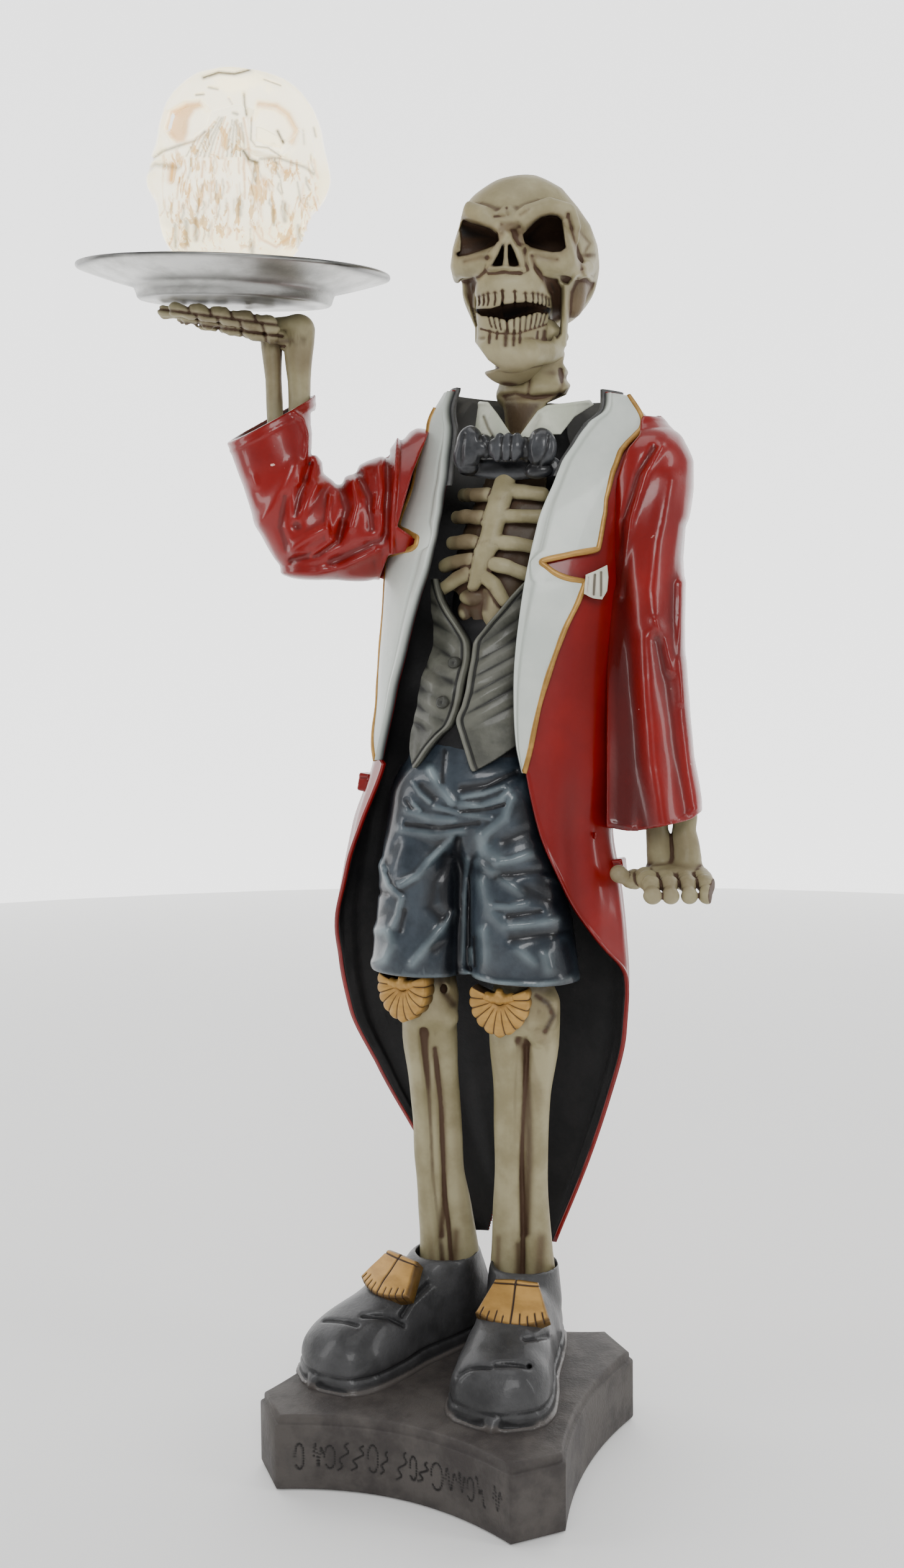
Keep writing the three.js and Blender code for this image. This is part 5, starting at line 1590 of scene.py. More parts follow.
def make_tray():
    profile = np.array(TRAY_PROFILE, float)
    length = np.concatenate([[0], np.cumsum(np.linalg.norm(np.diff(profile, axis=0), axis=1))])
    fine = np.unique(np.concatenate([np.linspace(0, length[-1], 190), length]))
    profile = np.stack([np.interp(fine, length, profile[:, k]) for k in range(2)], 1)[1:-1]
    a = np.linspace(0, 2 * math.pi, 240, endpoint=False)
    r, z = profile[:, :1], profile[:, 1:]
    x, y = r * np.cos(a), r * np.sin(a)
    dent = 0.25 * lumps(x, y, 0, 60, 71) + 0.12 * np.sin(a * 3 + 1)
    rings = np.stack([x, y, z + dent * ramp(r, 60, 100)], axis=-1)
    rings[:, :, 2] = np.maximum(rings[:, :, 2], 0)
    skin = stack_of(rings)
    # The dark on the rim, the step and round the foot is painted shade and painted reflection.
    rim = np.exp(-((r - 112) / 2.2) ** 2) * ramp(z, 19, 21.5) + 0 * a
    step = np.exp(-((r - 72.5) / 2.0) ** 2) * ramp(z, 10, 6) * 0.9 + 0 * a
    under = (z < 2.5) * np.exp(-((r - 69.5) / 1.2) ** 2) * 0.5 + 0 * a
    dark = np.concatenate([(rim * 0.75 + step * 0.35 + under).ravel(), [0, 0]])
    skin.marks = {"dark": np.clip(dark, 0, 1), "crease": dark * 0.2}
    skin = skin.moved(tray_matrix())
    # Dark bands across the silver dish: painted reflections.
    bands = Sketch(850, 1150)
    bands.line([(126, 426), (160, 414), (205, 406), (300, 402), (404, 405), (520, 418), (625, 449)], 5, 0,
               dark=0.9)
    bands.line([(222, 449), (330, 447), (450, 456)], 6, 0, dark=0.4)
    bands.line([(212, 460), (350, 463), (450, 470)], 8, 0, dark=0.5)
    bands.line([(220, 477), (330, 473), (420, 480), (505, 496)], 5, 0, dark=0.7)
    bands.line([(455, 470), (550, 474)], 16, 0, dark=0.5)
    bands.line([(420, 428), (510, 444)], 12, 0, dark=0.35)
    skin = bands.colour(skin)
    piece("tray", skin, SILVER, "serving_tray")


CLEAR_NEAR, CLEAR_FAR = 880, 1045
BROW_STREAKS = 15
CHEEK_STREAKS = 150
CHEEK_ROWS = (256, 292, 325, 362)


def clear_sketch():
    """Sockets and cheeks of the clear casting, with painted light: amber patches of painted lamp glow, and
    dark and amber upright streaks of painted refraction.
    """
    random = np.random.default_rng(17)
    face = Sketch(CLEAR_NEAR, CLEAR_FAR)
    face.patch([(275, 182), (300, 167), (322, 165), (336, 180), (334, 205), (318, 222), (298, 230),
                (280, 226),
                (268, 208)], 6, 9)
    face.patch([(275, 178), (300, 165), (322, 163), (328, 172), (314, 178), (306, 192), (303, 214),
                (298, 228),
                (285, 231), (274, 220), (268, 205), (274, 190)], 5, 0, amber=0.85)
    face.patch([(406, 196), (418, 170), (445, 173), (463, 186), (476, 212), (468, 232), (450, 246),
                (430, 238),
                (408, 234)], 6, 9)
    face.line([(418, 168), (445, 171), (464, 185), (477, 210), (470, 228)], 6, 0, amber=0.8)
    face.line([(447, 211), (456, 230)], 3, 1.5, olive=1.0)
    face.line([(405, 190), (404, 225), (412, 236), (432, 238), (452, 252)], 1.8, 1.5, olive=0.85)
    for i in range(BROW_STREAKS):
        t = i / (BROW_STREAKS - 1)
        top, low = mix(342, 392, t), mix(300, 402, t)
        face.line([(top, 188 + random.uniform(0, 22)), (mix(top, low, 0.6), 222), (low, 252)],
                  random.uniform(1.3, 2.4), random.choice([1.6, -1.2]),
                  **{random.choice(["amber", "olive"]): 0.7})
    face.line([(392, 243), (401, 257), (414, 262)], 4.5, 2.5, olive=1.0)
    face.line([(393, 152), (394, 168), (397, 186)], 2.6, 2, olive=0.9)
    face.line([(376, 182), (382, 184)], 3, 1, olive=0.8)
    face.line([(238, 262), (262, 244), (285, 236), (316, 226), (330, 212)], 3.2, 2.0, olive=0.85)
    face.line([(420, 256), (448, 254), (470, 262), (492, 270), (505, 280)], 3.2, 2.0, olive=0.75)
    face.line([(236, 275), (250, 265), (286, 270)], 5, 1.5, olive=0.65)
    face.line([(278, 266), (276, 290)], 7, 3, amber=1.0)
    face.line([(458, 277), (462, 277)], 8, -1.5, amber=0.7)
    face.line([(424, 290), (430, 298)], 7, 2, amber=0.8)
    for _ in range(CHEEK_STREAKS):
        u = random.uniform(262, 512)
        v = CHEEK_ROWS[random.integers(0, 4)] + random.uniform(-8, 8)
        tall = random.uniform(10, 34)
        lean = (u - 375) * 0.05
        mark = random.choice(["amber", "amber", "olive"])
        face.line([(u, v), (u + random.uniform(-3, 3), v + tall * 0.5), (u + lean, v + tall)],
                  random.uniform(1.2, 2.6), random.choice([1.5, 1.0, -1.2]),
                  **{mark: random.uniform(0.35, 0.85)})
    for u, v, wide, tall in ((385, 334, 5, 12), (458, 342, 5, 14), (300, 375, 5, 18), (315, 370, 5, 16),
                             (480, 380, 4, 16),
                             (440, 350, 3, 12), (405, 398, 5, 8), (282, 380, 3, 18)):
        face.line([(u, v - tall), (u + 1, v + tall)], wide, 1.5, olive=0.75)
    face.patch([(498, 372), (512, 358), (520, 372), (532, 360), (536, 385), (526, 405), (490, 412),
                (488, 396)], 5,
               0, amber=1.0)
    face.line([(404, 360), (420, 385), (445, 398), (470, 380)], 3, 1.5, amber=0.7)
    face.line([(328, 125), (352, 117), (378, 119), (402, 113)], 3.5, 0.8, olive=1.0)
    face.line([(425, 128), (452, 138)], 1.5, 0.5, olive=0.8)
    face.line([(336, 141), (351, 144)], 2.2, 0.5, olive=0.8)
    face.line([(316, 153), (328, 152)], 2.2, 0.8, olive=0.9)
    face.line([(368, 158), (374, 168)], 2, 0.6, olive=0.5)
    face.line([(252, 212), (247, 236)], 2.2, 0.8, olive=0.8)
    face.line([(505, 206), (508, 220)], 2.2, 0.8, olive=0.7)
    face.line([(488, 210), (490, 232)], 2.5, 0.8, olive=0.5)
    return face


def make_clear_skull():
    base = tray_matrix()
    place = base @ Matrix.Translation((3, 7, TRAY_FLOOR + 0.3))
    middle = seen(383, 232, -2)
    clay = Clay((-244, -84, 828), (-82, 82, 980), 1.05)
    clay.add(ball(middle + (0, 6, 0), (59, 63, 53)))
    clay.add(ball(seen(384, 292, 0), (67, 52, 34), turned(z=20)), soft=16)
    clay.add(ball(seen(376, 352, -8), (54, 44, 44), turned(z=20)), soft=12)
    clay.add(limb([seen(300, 240, -38), seen(340, 215, -60), seen(385, 205, -62), seen(440, 225, -44),
                   seen(480, 240, -20)], [12, 13, 14, 13, 12]), soft=9)
    clay.add(limb([seen(366, 195, -58), seen(358, 240, -66)], [6, 8]), soft=6)
    clay.add(ball(seen(345, 320, -34), (34, 28, 30)), soft=10)
    face = clear_sketch()
    clay.press(lambda x, y, z: 0.7 * lumps(x, y, z, 26, 81) + 0.35 * lumps(x, y, z, 10, 82))
    clay.draw(face, 14)
    tilt = np.array(base)
    floor_at = tilt[:3, 3] + tilt[:3, 2] * (TRAY_FLOOR + 0.3)

    def below(x, y, z):
        return (x - floor_at[0]) * tilt[0,
                                        2] + (y - floor_at[1]) * tilt[1, 2] + (z - floor_at[2]) * tilt[2, 2]
    clay.cut((clay.low - 1, clay.low + 200, below), soft=0.3)
    # Painted refraction streaks over the cheeks and jaw.
    face.patch([(262, 250), (300, 236), (345, 196), (385, 192), (400, 245), (480, 262), (510, 290),
                (508, 400),
                (268, 404)], 10, 0, streaked=0.9)
    skin = face.colour(clay.skin(fine=1.6, broad=5))
    piece("clear_skull_cast", skin, CLEAR, "clear_skull")
    lamp = Clay((-34, -34, -4), (34, 34, 40), 1.0)
    lamp.add(ball((0, -6, 4), (25, 23, 27)))
    lamp.cut(slab((0, 0, -14), (60, 60, 14.5)), soft=0.5)
    lamp.press(lambda x, y, z: 0.3 * lumps(x, y, z, 12, 83))
    piece("lamp_dome", lamp.skin().moved(place), LAMP, "clear_skull")


# Sleeves

ABOVE_SLEEVE = [(514, 600), (511, 648), (509, 730), (520, 745), (521, 762), (541, 777), (555, 768),
                (568, 764),
                (580, 749), (592, 743), (622, 731), (631, 715), (648, 704), (654, 689), (670, 680),
                (690, 690),
                (700, 600)]
BELOW_SLEEVE = [(330, 727), (365, 727), (385, 780), (400, 820), (413, 850), (425, 885), (435, 908),
                (450, 926),
                (470, 932), (545, 935), (611, 941), (611, 1010), (330, 1010)]
BESIDE_LAPEL = [(696, 684), (665, 760), (640, 848), (672, 870), (662, 887), (625, 895), (612, 930),
                (610, 1010),
                (900, 1010), (900, 600), (700, 600)]
CUFF_SLOPE = unit(vec(-0.35, -0.50, 1))


def beyond(point, direction):
    """Everything past a plane, as a shape to cut with."""
    direction = unit(vec(*direction))
    offset = float(np.dot(direction, point))
    low, high = np.array(point) - 400, np.array(point) + 400
    return low, high, lambda x, y, z: offset - (x * direction[0] + y * direction[1] + z * direction[2])


def inside_coat(depth):
    """The room inside the coat, down from its surface by a depth."""
    def distance(x, y, z):
        row = spline(COAT_Z, COAT_ROWS, np.clip(z, COAT_Z[0], COAT_Z[-1]))
        cx, cy, right, left, front, back = (row[..., k] for k in range(6))
        half = np.where(x < cx, right, left)
        reach = np.where(y < cy, cy - front, back - cy)
        return (np.sqrt(((x - cx) / half) ** 2 + ((y - cy) / reach) ** 2) - 1) * 60 + depth
    return vec(-140, -40, 430), vec(180, 160, 764), distance


# Rows are the places of a fold in the picture, its width and how far it is pressed in
RIGHT_FOLDS = [
    ([(474, 664), (489, 676), (497, 700), (494, 740), (482, 778)], 5, -2.2),
    ([(503, 668), (502, 720), (492, 770)], 7, 2.4),
    ([(497, 748), (481, 800), (478, 846)], 8, 3.2),
    ([(474, 752), (452, 795), (422, 840)], 13, -3.4),
    ([(510, 782), (494, 810), (480, 836)], 8, -2.6),
    ([(470, 885), (494, 868), (523, 852)], 9, -3.4),
    ([(458, 800), (452, 850), (462, 884)], 7, 2.2),
    ([(455, 924), (510, 924), (555, 912), (602, 890)], 9, -3.6),
    ([(470, 902), (515, 892), (545, 872), (552, 845)], 6, 2.6),
    ([(531, 800), (527, 845), (529, 866)], 3.5, -1.8),
    ([(500, 896), (535, 870)], 3, -1.5),
    ([(550, 780), (558, 820), (546, 862)], 10, 3.6),
    ([(568, 776), (576, 812), (566, 850)], 6, -2.4),
    ([(580, 766), (594, 800), (598, 850)], 9, 3.4),
    ([(608, 752), (614, 790), (606, 820)], 7, -2.4),
    ([(625, 735), (624, 790), (622, 860)], 7, 3.4),
    ([(640, 706), (637, 770), (631, 850), (632, 900)], 3.5, -3.0),
    ([(535, 905), (580, 885), (615, 868)], 9, 2.2),
    ([(365, 730), (420, 703), (460, 683), (508, 652)], 2.6, -0.7),
    ([(409, 770), (413, 782)], 6, -1.2),
]


def right_sleeve_sketch():
    folds = Sketch(900, 1075)
    folds.lines(RIGHT_FOLDS)
    return folds


def make_right_sleeve():
    clay = Clay((-182, -56, 590), (30, 140, 780), 1.15)
    across = unit((-0.39, 0.92, 0.0))
    upper = [(-20, 86, 688), (-42, 70, 684), (-64, 50, 675), (-88, 31, 662), (-106, 19, 656)]
    clay.add(limb(upper, [40, 42, 40, 36, 33], (0, 0.2, 1), [1.15, 1.4, 1.36, 1.3, 1.25]))
    elbow = [(-104, 18, 656), (-114, 13, 660), (-123, 9, 676), (-129, 6, 704), (-134, 4, 728)]
    clay.add(limb(elbow, [33, 33, 33, 33, 34]), soft=6)
    clay.add(limb([(-131, 5, 712), (-136, 3, 734), (-139, 1, 768)], [33, 34.5, 35.5], across, 1.0), soft=3)
    clay.cut(well(ABOVE_SLEEVE, 860, 1180), well(BELOW_SLEEVE, 860, 1180), soft=7)
    clay.draw(right_sleeve_sketch())
    clay.press(lambda x, y, z: 0.7 * lumps(x, y, z, 40, 91) + 0.2 * lumps(x, y, z, 14, 92))
    clay.cut(well(BESIDE_LAPEL, 860, 1064), inside_coat(1.5), soft=1)
    clay.cut(beyond(seen(438, 674, 3), CUFF_SLOPE), soft=1)
    bore = limb([(-125, 8, 690), (-131, 5, 712), (-137, 3, 740), (-142, 1, 785)], [24, 28.5, 31, 32.5])
    clay.cut(bore, soft=1.6)
    skin = clay.skin(fine=2.2, broad=9)
    skin.marks["lining"] = on_surface(skin.points, [bore], 2.2)
    figure_piece("sleeve_right", skin, RED)


BESIDE_SLEEVE = [(1108, 640), (1108, 712), (1120, 742), (1118, 785), (1110, 830), (1103, 900), (1101, 1000),
                 (1106, 1090), (1112, 1160), (1118, 1220), (1131, 1288), (1132, 1304), (1220, 1304),
                 (1220, 640)]
BESIDE_COAT = [(880, 640), (1035, 640), (1030, 700), (1012, 722), (994, 770), (983, 830), (982, 900),
               (980, 960),
               (977, 1080), (977, 1340), (880, 1340)]
BELOW_CUFF = [(960, 1332), (985, 1334), (1010, 1339), (1055, 1348), (1090, 1331), (1116, 1318),
              (1136, 1302),
              (1240, 1302), (1240, 1480), (960, 1480)]
DEEP_FOLD = [(1003, 850), (1014, 940), (1022, 1050), (1029, 1150), (1040, 1250), (1054, 1352), (980, 1352),
             (982, 1200), (979, 1080), (984, 980), (996, 900)]


# The same, and how strongly the fold is darkened with painted shade
LEFT_FOLDS = [
    ([(1066, 720), (1040, 762), (1017, 835), (1004, 900), (998, 960)], 6, -1.8),
    ([(1052, 722), (1027, 765), (1004, 840)], 6, 1.6, 0.25),
    ([(1082, 775), (1060, 870), (1048, 950), (1056, 1010)], 16, -3.2),
    ([(1056, 1000), (1070, 1035), (1080, 1080)], 8, -2.2),
    ([(1104, 850), (1084, 940), (1084, 1000), (1092, 1050)], 12, 2.2, 0.25),
    ([(1098, 940), (1094, 1040), (1099, 1130)], 8, -1.8),
    ([(1040, 1030), (1044, 1120), (1052, 1220), (1070, 1340)], 15, -3.0),
    ([(1062, 1030), (1076, 1110), (1086, 1200), (1104, 1310)], 12, 2.4, 0.3),
    ([(985, 1326), (1010, 1331), (1054, 1340), (1090, 1324), (1124, 1300)], 3, -0.9),
]


def left_sleeve_sketch():
    folds = Sketch(880, 1075)
    # The deep fold beside the coat is dark red from painted shade.
    folds.patch(DEEP_FOLD, 16, 4.0, umber=0.75)
    folds.lines(LEFT_FOLDS, "umber")
    return folds


def make_left_sleeve():
    clay = Clay((84, 10, 420), (186, 138, 756), 1.2)
    rows = [((116, 86, 716), 26, 1.15), ((127, 83, 696), 32, 1.28), ((131, 79, 650), 32, 1.30),
            ((131, 74, 600), 30.5, 1.28), ((133, 70, 540), 31, 1.22), ((135, 67, 485), 33, 1.12),
            ((137, 64, 440), 35, 1.1)]
    clay.add(limb([r[0] for r in rows], [r[1] for r in rows], (0, 1, 0), [r[2] for r in rows]))
    clay.add(limb([(118, 62, 600), (115, 58, 520), (114, 54, 440)], [17, 20, 22], (0, 1, 0), 1.2), soft=6)
    clay.cut(well(BESIDE_SLEEVE, 820, 1250), soft=7)
    clay.press(lambda x, y, z: 0.8 * lumps(x, y, z * 0.4, 34, 93) + 0.25 * lumps(x, y, z, 16, 94))
    folds = left_sleeve_sketch()
    clay.draw(folds)
    clay.cut(well(BELOW_CUFF, 820, 1062), well(BESIDE_COAT, 820, 1064), inside_coat(1.5), soft=1.0)
    clay.cut(slab((137, 64, 408), (60, 80, 34), turned(x=0, y=-12.5), 0.5), soft=1.0)
    bore = limb([(136, 66, 462), (137, 65, 440), (138, 62, 415)], [24, 30, 31], (0, 1, 0), 1.1)
    clay.cut(bore, soft=1.6)
    skin = folds.colour(clay.skin(fine=2.2, broad=9))
    skin.marks["lining"] = on_surface(skin.points, [bore], 2.2)
    figure_piece("sleeve_left", skin, RED)


# Hands: each finger is a chain of drum-shaped bones

def knuckled(points, radius, joints, seed):
    """Shapes for a finger: bones that swell at both ends, and narrow necks between them."""
    random = np.random.default_rng(seed)
    path = through(points, joints * 8 + 1)
    shapes = []
    for j in range(joints):
        bone = path[j * 8:(j + 1) * 8 + 1]
        thick = radius * (1.08 - 0.10 * j) * random.uniform(0.94, 1.05)
        swell = np.array([1.0, 1.06, 0.98, 0.88, 0.84, 0.87, 0.96, 1.04, 0.98]) * thick
        shapes.append(limb(bone[1:-1], swell[1:-1]))
    return shapes


def hand_from(clay, palm, fingers, seed):
    for shape in palm:
        clay.add(shape, soft=4)
    for i, (points, radius, joints) in enumerate(fingers):
        for shape in knuckled(points, radius, joints, seed + i):
            clay.add(shape, soft=0.7)
    clay.press(lambda x, y, z: 0.4 * lumps(x, y, z, 8, seed + 20))


def make_right_hand():
    clay = Clay((-74, -46, -42), (66, 66, 4), 0.8)
    palm = [limb([(42, 16, -27), (30, 13, -20), (14, 9, -14), (2, 7, -11)], [9, 8, 7, 6], (0.1, 1, 0),
                 [1.9, 3.0, 4.0, 4.3])]
    fingers = [
        ([(36, -8, -17), (2, -22, -10), (-34, -31, -6.5)], 6.3, 4),
        ([(32, 2, -18), (-12, -10, -9.5), (-52, -19, -6.2)], 6.3, 5),
        ([(30, 13, -18), (-16, 3, -9.5), (-61, -5, -6.2)], 6.2, 5),
        ([(30, 25, -17), (-14, 16, -9), (-54, 11, -6.2)], 6.0, 5),
        ([(36, 32, -18), (8, 45, -12), (-20, 51, -7.5)], 6.0, 3),
        ([(34, -4, -24), (2, -14, -17), (-30, -22, -12)], 5.2, 4),
        ([(34, 8, -25), (-4, -2, -17), (-42, -10, -12)], 5.2, 5),
    ]
    hand_from(clay, palm, fingers, 101)
    # Brown and black in the finger joints and along the gaps between the rows of fingers: painted shade.
    rows = Sketch(880, 1100, tray_matrix())
    for v_shift, ends in ((0, (303, 338, 372, 410, 448)), (17, (318, 352, 388, 424)),
                          (33, (352, 390, 428))):
        for u in ends:
            v = 489 + (u - 257) * 0.135 + v_shift
            rows.line([(u - 2, v - 7), (u + 2, v + 7)], 3, 1.5, brown=0.9, black=0.3)
            rows.line([(u - 18, v - 2), (u - 17, v - 2)], 8, -1.0)
        start, end = ends[0] - 46 + v_shift, ends[-1] + 30
        edge = [(u, 498 + (u - 257) * 0.135 + v_shift) for u in (start, (start + end) / 2, end)]
        rows.line(edge, 3, 1.4, brown=0.95, black=0.35)
    clay.draw(rows)
    clay.cut(slab((0, 0, 12), (150, 150, 12.5), None, 0.2), soft=0.2)
    skin = rows.colour(clay.skin(fine=1.4, broad=4)).moved(tray_matrix())
    wrist = Clay((-156, -16, 676), (-96, 30, 822), 0.95)
    wrist.add(limb([(-134, 6, 682), (-135, 5, 720), (-136, 4, 770), (-137, 4, 792), (-137, 4, 804)],
                   [6.4, 5.4, 6.2, 7.6, 8.4]))
    wrist.add(limb([(-118, 9, 682), (-118, 9, 720), (-117, 8, 768), (-117, 8, 790), (-116, 8, 805)],
                   [8.4, 7.4, 8.4, 10.6, 11.4]), soft=2)
    wrist.add(ball((-128, 5, 808), (16, 11, 7)), soft=3)
    wrist.cut(limb([(-126.5, -4, 692), (-126.5, -6, 760), (-127, -8, 800)], [2.2, 2.4, 1.8]), soft=2)
    wrist.press(lambda x, y, z: 0.5 * lumps(x, y, z * 0.5, 9, 111))
    bones = wrist.skin(fine=1.8, broad=5)
    whole = skin + bones
    stain = np.clip(0.1 + 0.35 * lumps(*whole.points.T, 14, 112), 0, 0.5)
    whole.marks["brown"] = np.maximum(whole.marks.get("brown", 0), stain)
    # Brown and black between the wrist bones and under the hand: painted shade.
    between = Sketch(880, 1100)
    between.line([(447, 560), (452, 600), (450, 655)], 5, 0, brown=0.85)
    between.line([(420, 552), (490, 548)], 5, 0, brown=0.8, black=0.3)
    whole = between.colour(whole)
    figure_piece("hand_right", whole, BONE)


def make_left_hand():
    clay = Clay((98, -2, 386), (182, 92, 478), 0.85)
    clay.add(limb([(138, 60, 472), (137, 60, 440), (139, 62, 420), (141, 66, 412)], [8, 8, 10, 12]))
    clay.add(limb([(156, 66, 472), (155, 65, 440), (157, 64, 420), (157, 62, 410)], [8.5, 8.6, 10.5, 11]),
             soft=2)
    clay.cut(limb([(146, 54, 460), (147, 52, 430), (148, 50, 416)], [3.2, 3.6, 2.0]), soft=3)
    palm = [limb([(145, 72, 412), (149, 58, 410), (154, 46, 408)], [8, 7.6, 7], (0.92, 0.39, 0),
                 [2.3, 3.1, 3.3])]
    fingers = []
    for offset in (-19, -6.5, 6, 18.5):
        start = np.array([149 + 0.92 * offset, 54 + 0.39 * offset, 408])
        middle = start + (10, -22, -2)
        fingers.append(((start, middle, middle + (5, -14, -7)), 6.6, 3))
    fingers.append((((134, 56, 408), (122, 46, 406), (114, 37, 411)), 6.4, 2))
    hand_from(clay, palm, fingers, 121)
    skin = clay.skin(fine=1.5, broad=5)
    skin.marks["brown"] = np.clip(0.15 + 0.3 * lumps(*skin.points.T, 14, 131), 0, 0.5)
    figure_piece("hand_left", skin, BONE)


def clear_material():
    n = Nodes("clear_cast")
    ripple = n.noise(6, 3, 0.5, (1, 1, 0.5))
    n.bump(ripple, 0.35)
    # The casting's colours and its emission are painted light: lamp glow and refractions painted in, and a
    # glow of its own though it is no lamp.
    streak = n.step(n.noise(7, 3, 0.6, (1, 1, 0.28)), 0.50, 0.60)
    streak = n.math("MULTIPLY", streak, n.mark("streaked"))
    colour = n.mix(streak, (1.0, 0.96, 0.84), (0.55, 0.30, 0.08))
    colour = n.mix(n.mark("olive"), n.mix(n.mark("amber"), colour, (0.50, 0.20, 0.02)),
                   (0.022, 0.017, 0.006))
    glow = n.mix(streak, (1.0, 0.92, 0.62), (0.34, 0.20, 0.07))
    glow = n.mix(n.mark("olive"), n.mix(n.mark("amber"), glow, (0.30, 0.13, 0.015)), (0.01, 0.008, 0.004))
    n.shader.inputs["Transmission Weight"].default_value = 0.62
    n.shader.inputs["IOR"].default_value = 1.25
    n.shader.inputs["Emission Strength"].default_value = 0.85
    return n.set(Base_Color=colour, Roughness=n.math("MULTIPLY", ripple, 0.12), Emission_Color=glow)


def lamp_material():
    n = Nodes("lamp_warm")
    glow = n.noise(18, 2)
    n.shader.inputs["Emission Strength"].default_value = 7.0
    return n.set(Base_Color=(0.9, 0.86, 0.76), Roughness=0.4,
                 Emission_Color=n.mix(glow, (1.0, 0.70, 0.30), (1.0, 0.84, 0.52)))


SILVER = metal_paint("silver_paint", (0.62, 0.62, 0.60), (0.42, 0.42, 0.40), (0.03, 0.03, 0.028), 0.85,
                     0.36,
                     marks=[("dark", (0.035, 0.035, 0.033))])
CLEAR = clear_material()
LAMP = lamp_material()

make_tray()
make_clear_skull()
make_right_sleeve()
make_left_sleeve()
make_right_hand()
make_left_hand()


def hit(clay, u, v):
    """The first point of the block's surface that shows at a point of the picture."""
    start, ray = sight(u, v)
    far = np.arange(500, 1600, 0.6)
    points = start + ray * far[:, None]
    high = clay.low + clay.size * clay.voxel
    inside = np.all((points > clay.low) & (points < high), axis=1)
    points = points[inside]
    values = clay.sample(clay.field, points)
    below = np.nonzero(values < 0)[0]
    return points[below[0]] if len(below) else points[np.argmin(values)]


def grooved(clay, places, radius, soft):
    """Cuts a groove along points of the picture."""
    path = np.array([hit(clay, u, v) for u, v in places])
    clay.cut(limb(path, radius), soft=soft)


# Shorts

# Rows are the places of a fold in the picture, its width, how far it is pressed in and its paint: pale on
# the ridges, partly pale paint and partly painted highlight, black in the valleys, painted shade
SHORTS_RIDGES = [
    ([(692, 1240), (706, 1262), (728, 1292)], 7, -1.6, 0.95),
    ([(664, 1260), (676, 1278), (692, 1292)], 3, -1.0, 0.9),
    ([(664, 1294), (676, 1306)], 3, -0.8, 0.8), ([(745, 1284), (778, 1278), (812, 1266)], 4, -1.3, 0.95),
    ([(742, 1296), (775, 1300), (806, 1288), (820, 1272)], 6, -1.4, 0.7),
    ([(700, 1300), (750, 1312), (790, 1318)], 4, -1.0, 0.5),
    ([(655, 1306), (690, 1318), (730, 1322)], 6, -1.4, 0.55),
    ([(826, 1285), (812, 1318), (780, 1345)], 8, -1.8, 0.6),
    ([(646, 1335), (700, 1346), (745, 1340)], 7, -1.4, 0.4),
    ([(775, 1350), (780, 1375), (800, 1385)], 12, -1.6, 0.6),
    ([(800, 1390), (825, 1386), (858, 1374)], 7, -2.0, 0.7),
    ([(645, 1425), (672, 1410), (692, 1386), (728, 1352)], 6, -2.4, 0.85),
    ([(614, 1388), (618, 1400)], 6, -1.4, 1.0), ([(612, 1395), (624, 1426), (646, 1446), (640, 1476),
                                                  (632, 1492)], 5, -2.0, 0.8),
    ([(606, 1498), (622, 1500), (630, 1520), (618, 1546), (600, 1550)], 8, -2.0, 0.95),
    ([(732, 1470), (708, 1500), (682, 1530), (664, 1552)], 7, -2.6, 0.8),
    ([(752, 1385), (748, 1450), (744, 1550)], 5, -1.0, 0.5),
    ([(770, 1390), (800, 1410), (840, 1438)], 7, -1.6, 0.5),
    ([(775, 1420), (790, 1470), (812, 1490)], 10, -1.4, 0.45),
    ([(795, 1460), (820, 1462), (848, 1456)], 5, -1.4, 0.55),
    ([(818, 1492), (850, 1490), (900, 1481)], 6, -2.0, 0.75),
    ([(880, 1414), (898, 1420), (916, 1430)], 4, -1.0, 0.5),
    ([(778, 1500), (782, 1550)], 9, -1.6, 0.65), ([(757, 1530), (758, 1552)], 4, -0.8, 0.8),
    ([(880, 1540), (886, 1560)], 10, -1.8, 0.9), ([(835, 1530), (860, 1552)], 8, -1.0, 0.5),
    ([(745, 1565), (800, 1584), (870, 1588), (920, 1574)], 4, -0.9, 0.6),
]
SHORTS_VALLEYS = [
    ([(737, 1355), (738, 1420), (737, 1570)], 8, 3.0, 1.0),
    ([(722, 1385), (700, 1420), (694, 1460), (712, 1478)], 12, 2.4, 0.85),
    ([(745, 1270), (785, 1264), (830, 1245)], 7, 1.8, 0.8),
    ([(742, 1308), (790, 1302), (812, 1296)], 3, 1.2, 0.9),
    ([(655, 1328), (710, 1334), (770, 1326)], 4, 1.4, 0.85), ([(680, 1265), (700, 1285)], 6, 1.0, 0.75),
    ([(716, 1210), (712, 1260)], 5, 1.0, 0.6), ([(655, 1290), (662, 1302)], 4, 0.6, 0.7),
    ([(815, 1355), (850, 1340), (880, 1340)], 12, 2.0, 0.9),
    ([(800, 1412), (850, 1405), (900, 1400)], 7, 1.8, 0.8),
    ([(850, 1435), (880, 1450), (930, 1460)], 14, 1.6, 0.9), ([(820, 1476), (870, 1468)], 5, 1.6, 0.8),
    ([(825, 1512), (870, 1506), (915, 1500)], 9, 2.2, 0.9), ([(910, 1520), (920, 1560)], 10, 1.2, 0.85),
    ([(763, 1510), (765, 1556)], 3, 1.2, 0.7), ([(700, 1530), (728, 1510), (726, 1555)], 9, 1.2, 0.8),
    ([(608, 1436), (622, 1440)], 5, 1.6, 0.7), ([(652, 1468), (645, 1500)], 5, 1.2, 0.4),
    ([(624, 1470), (612, 1480)], 7, 0.6, 0.35), ([(640, 1360), (625, 1385)], 8, 0.8, 0.45),
]
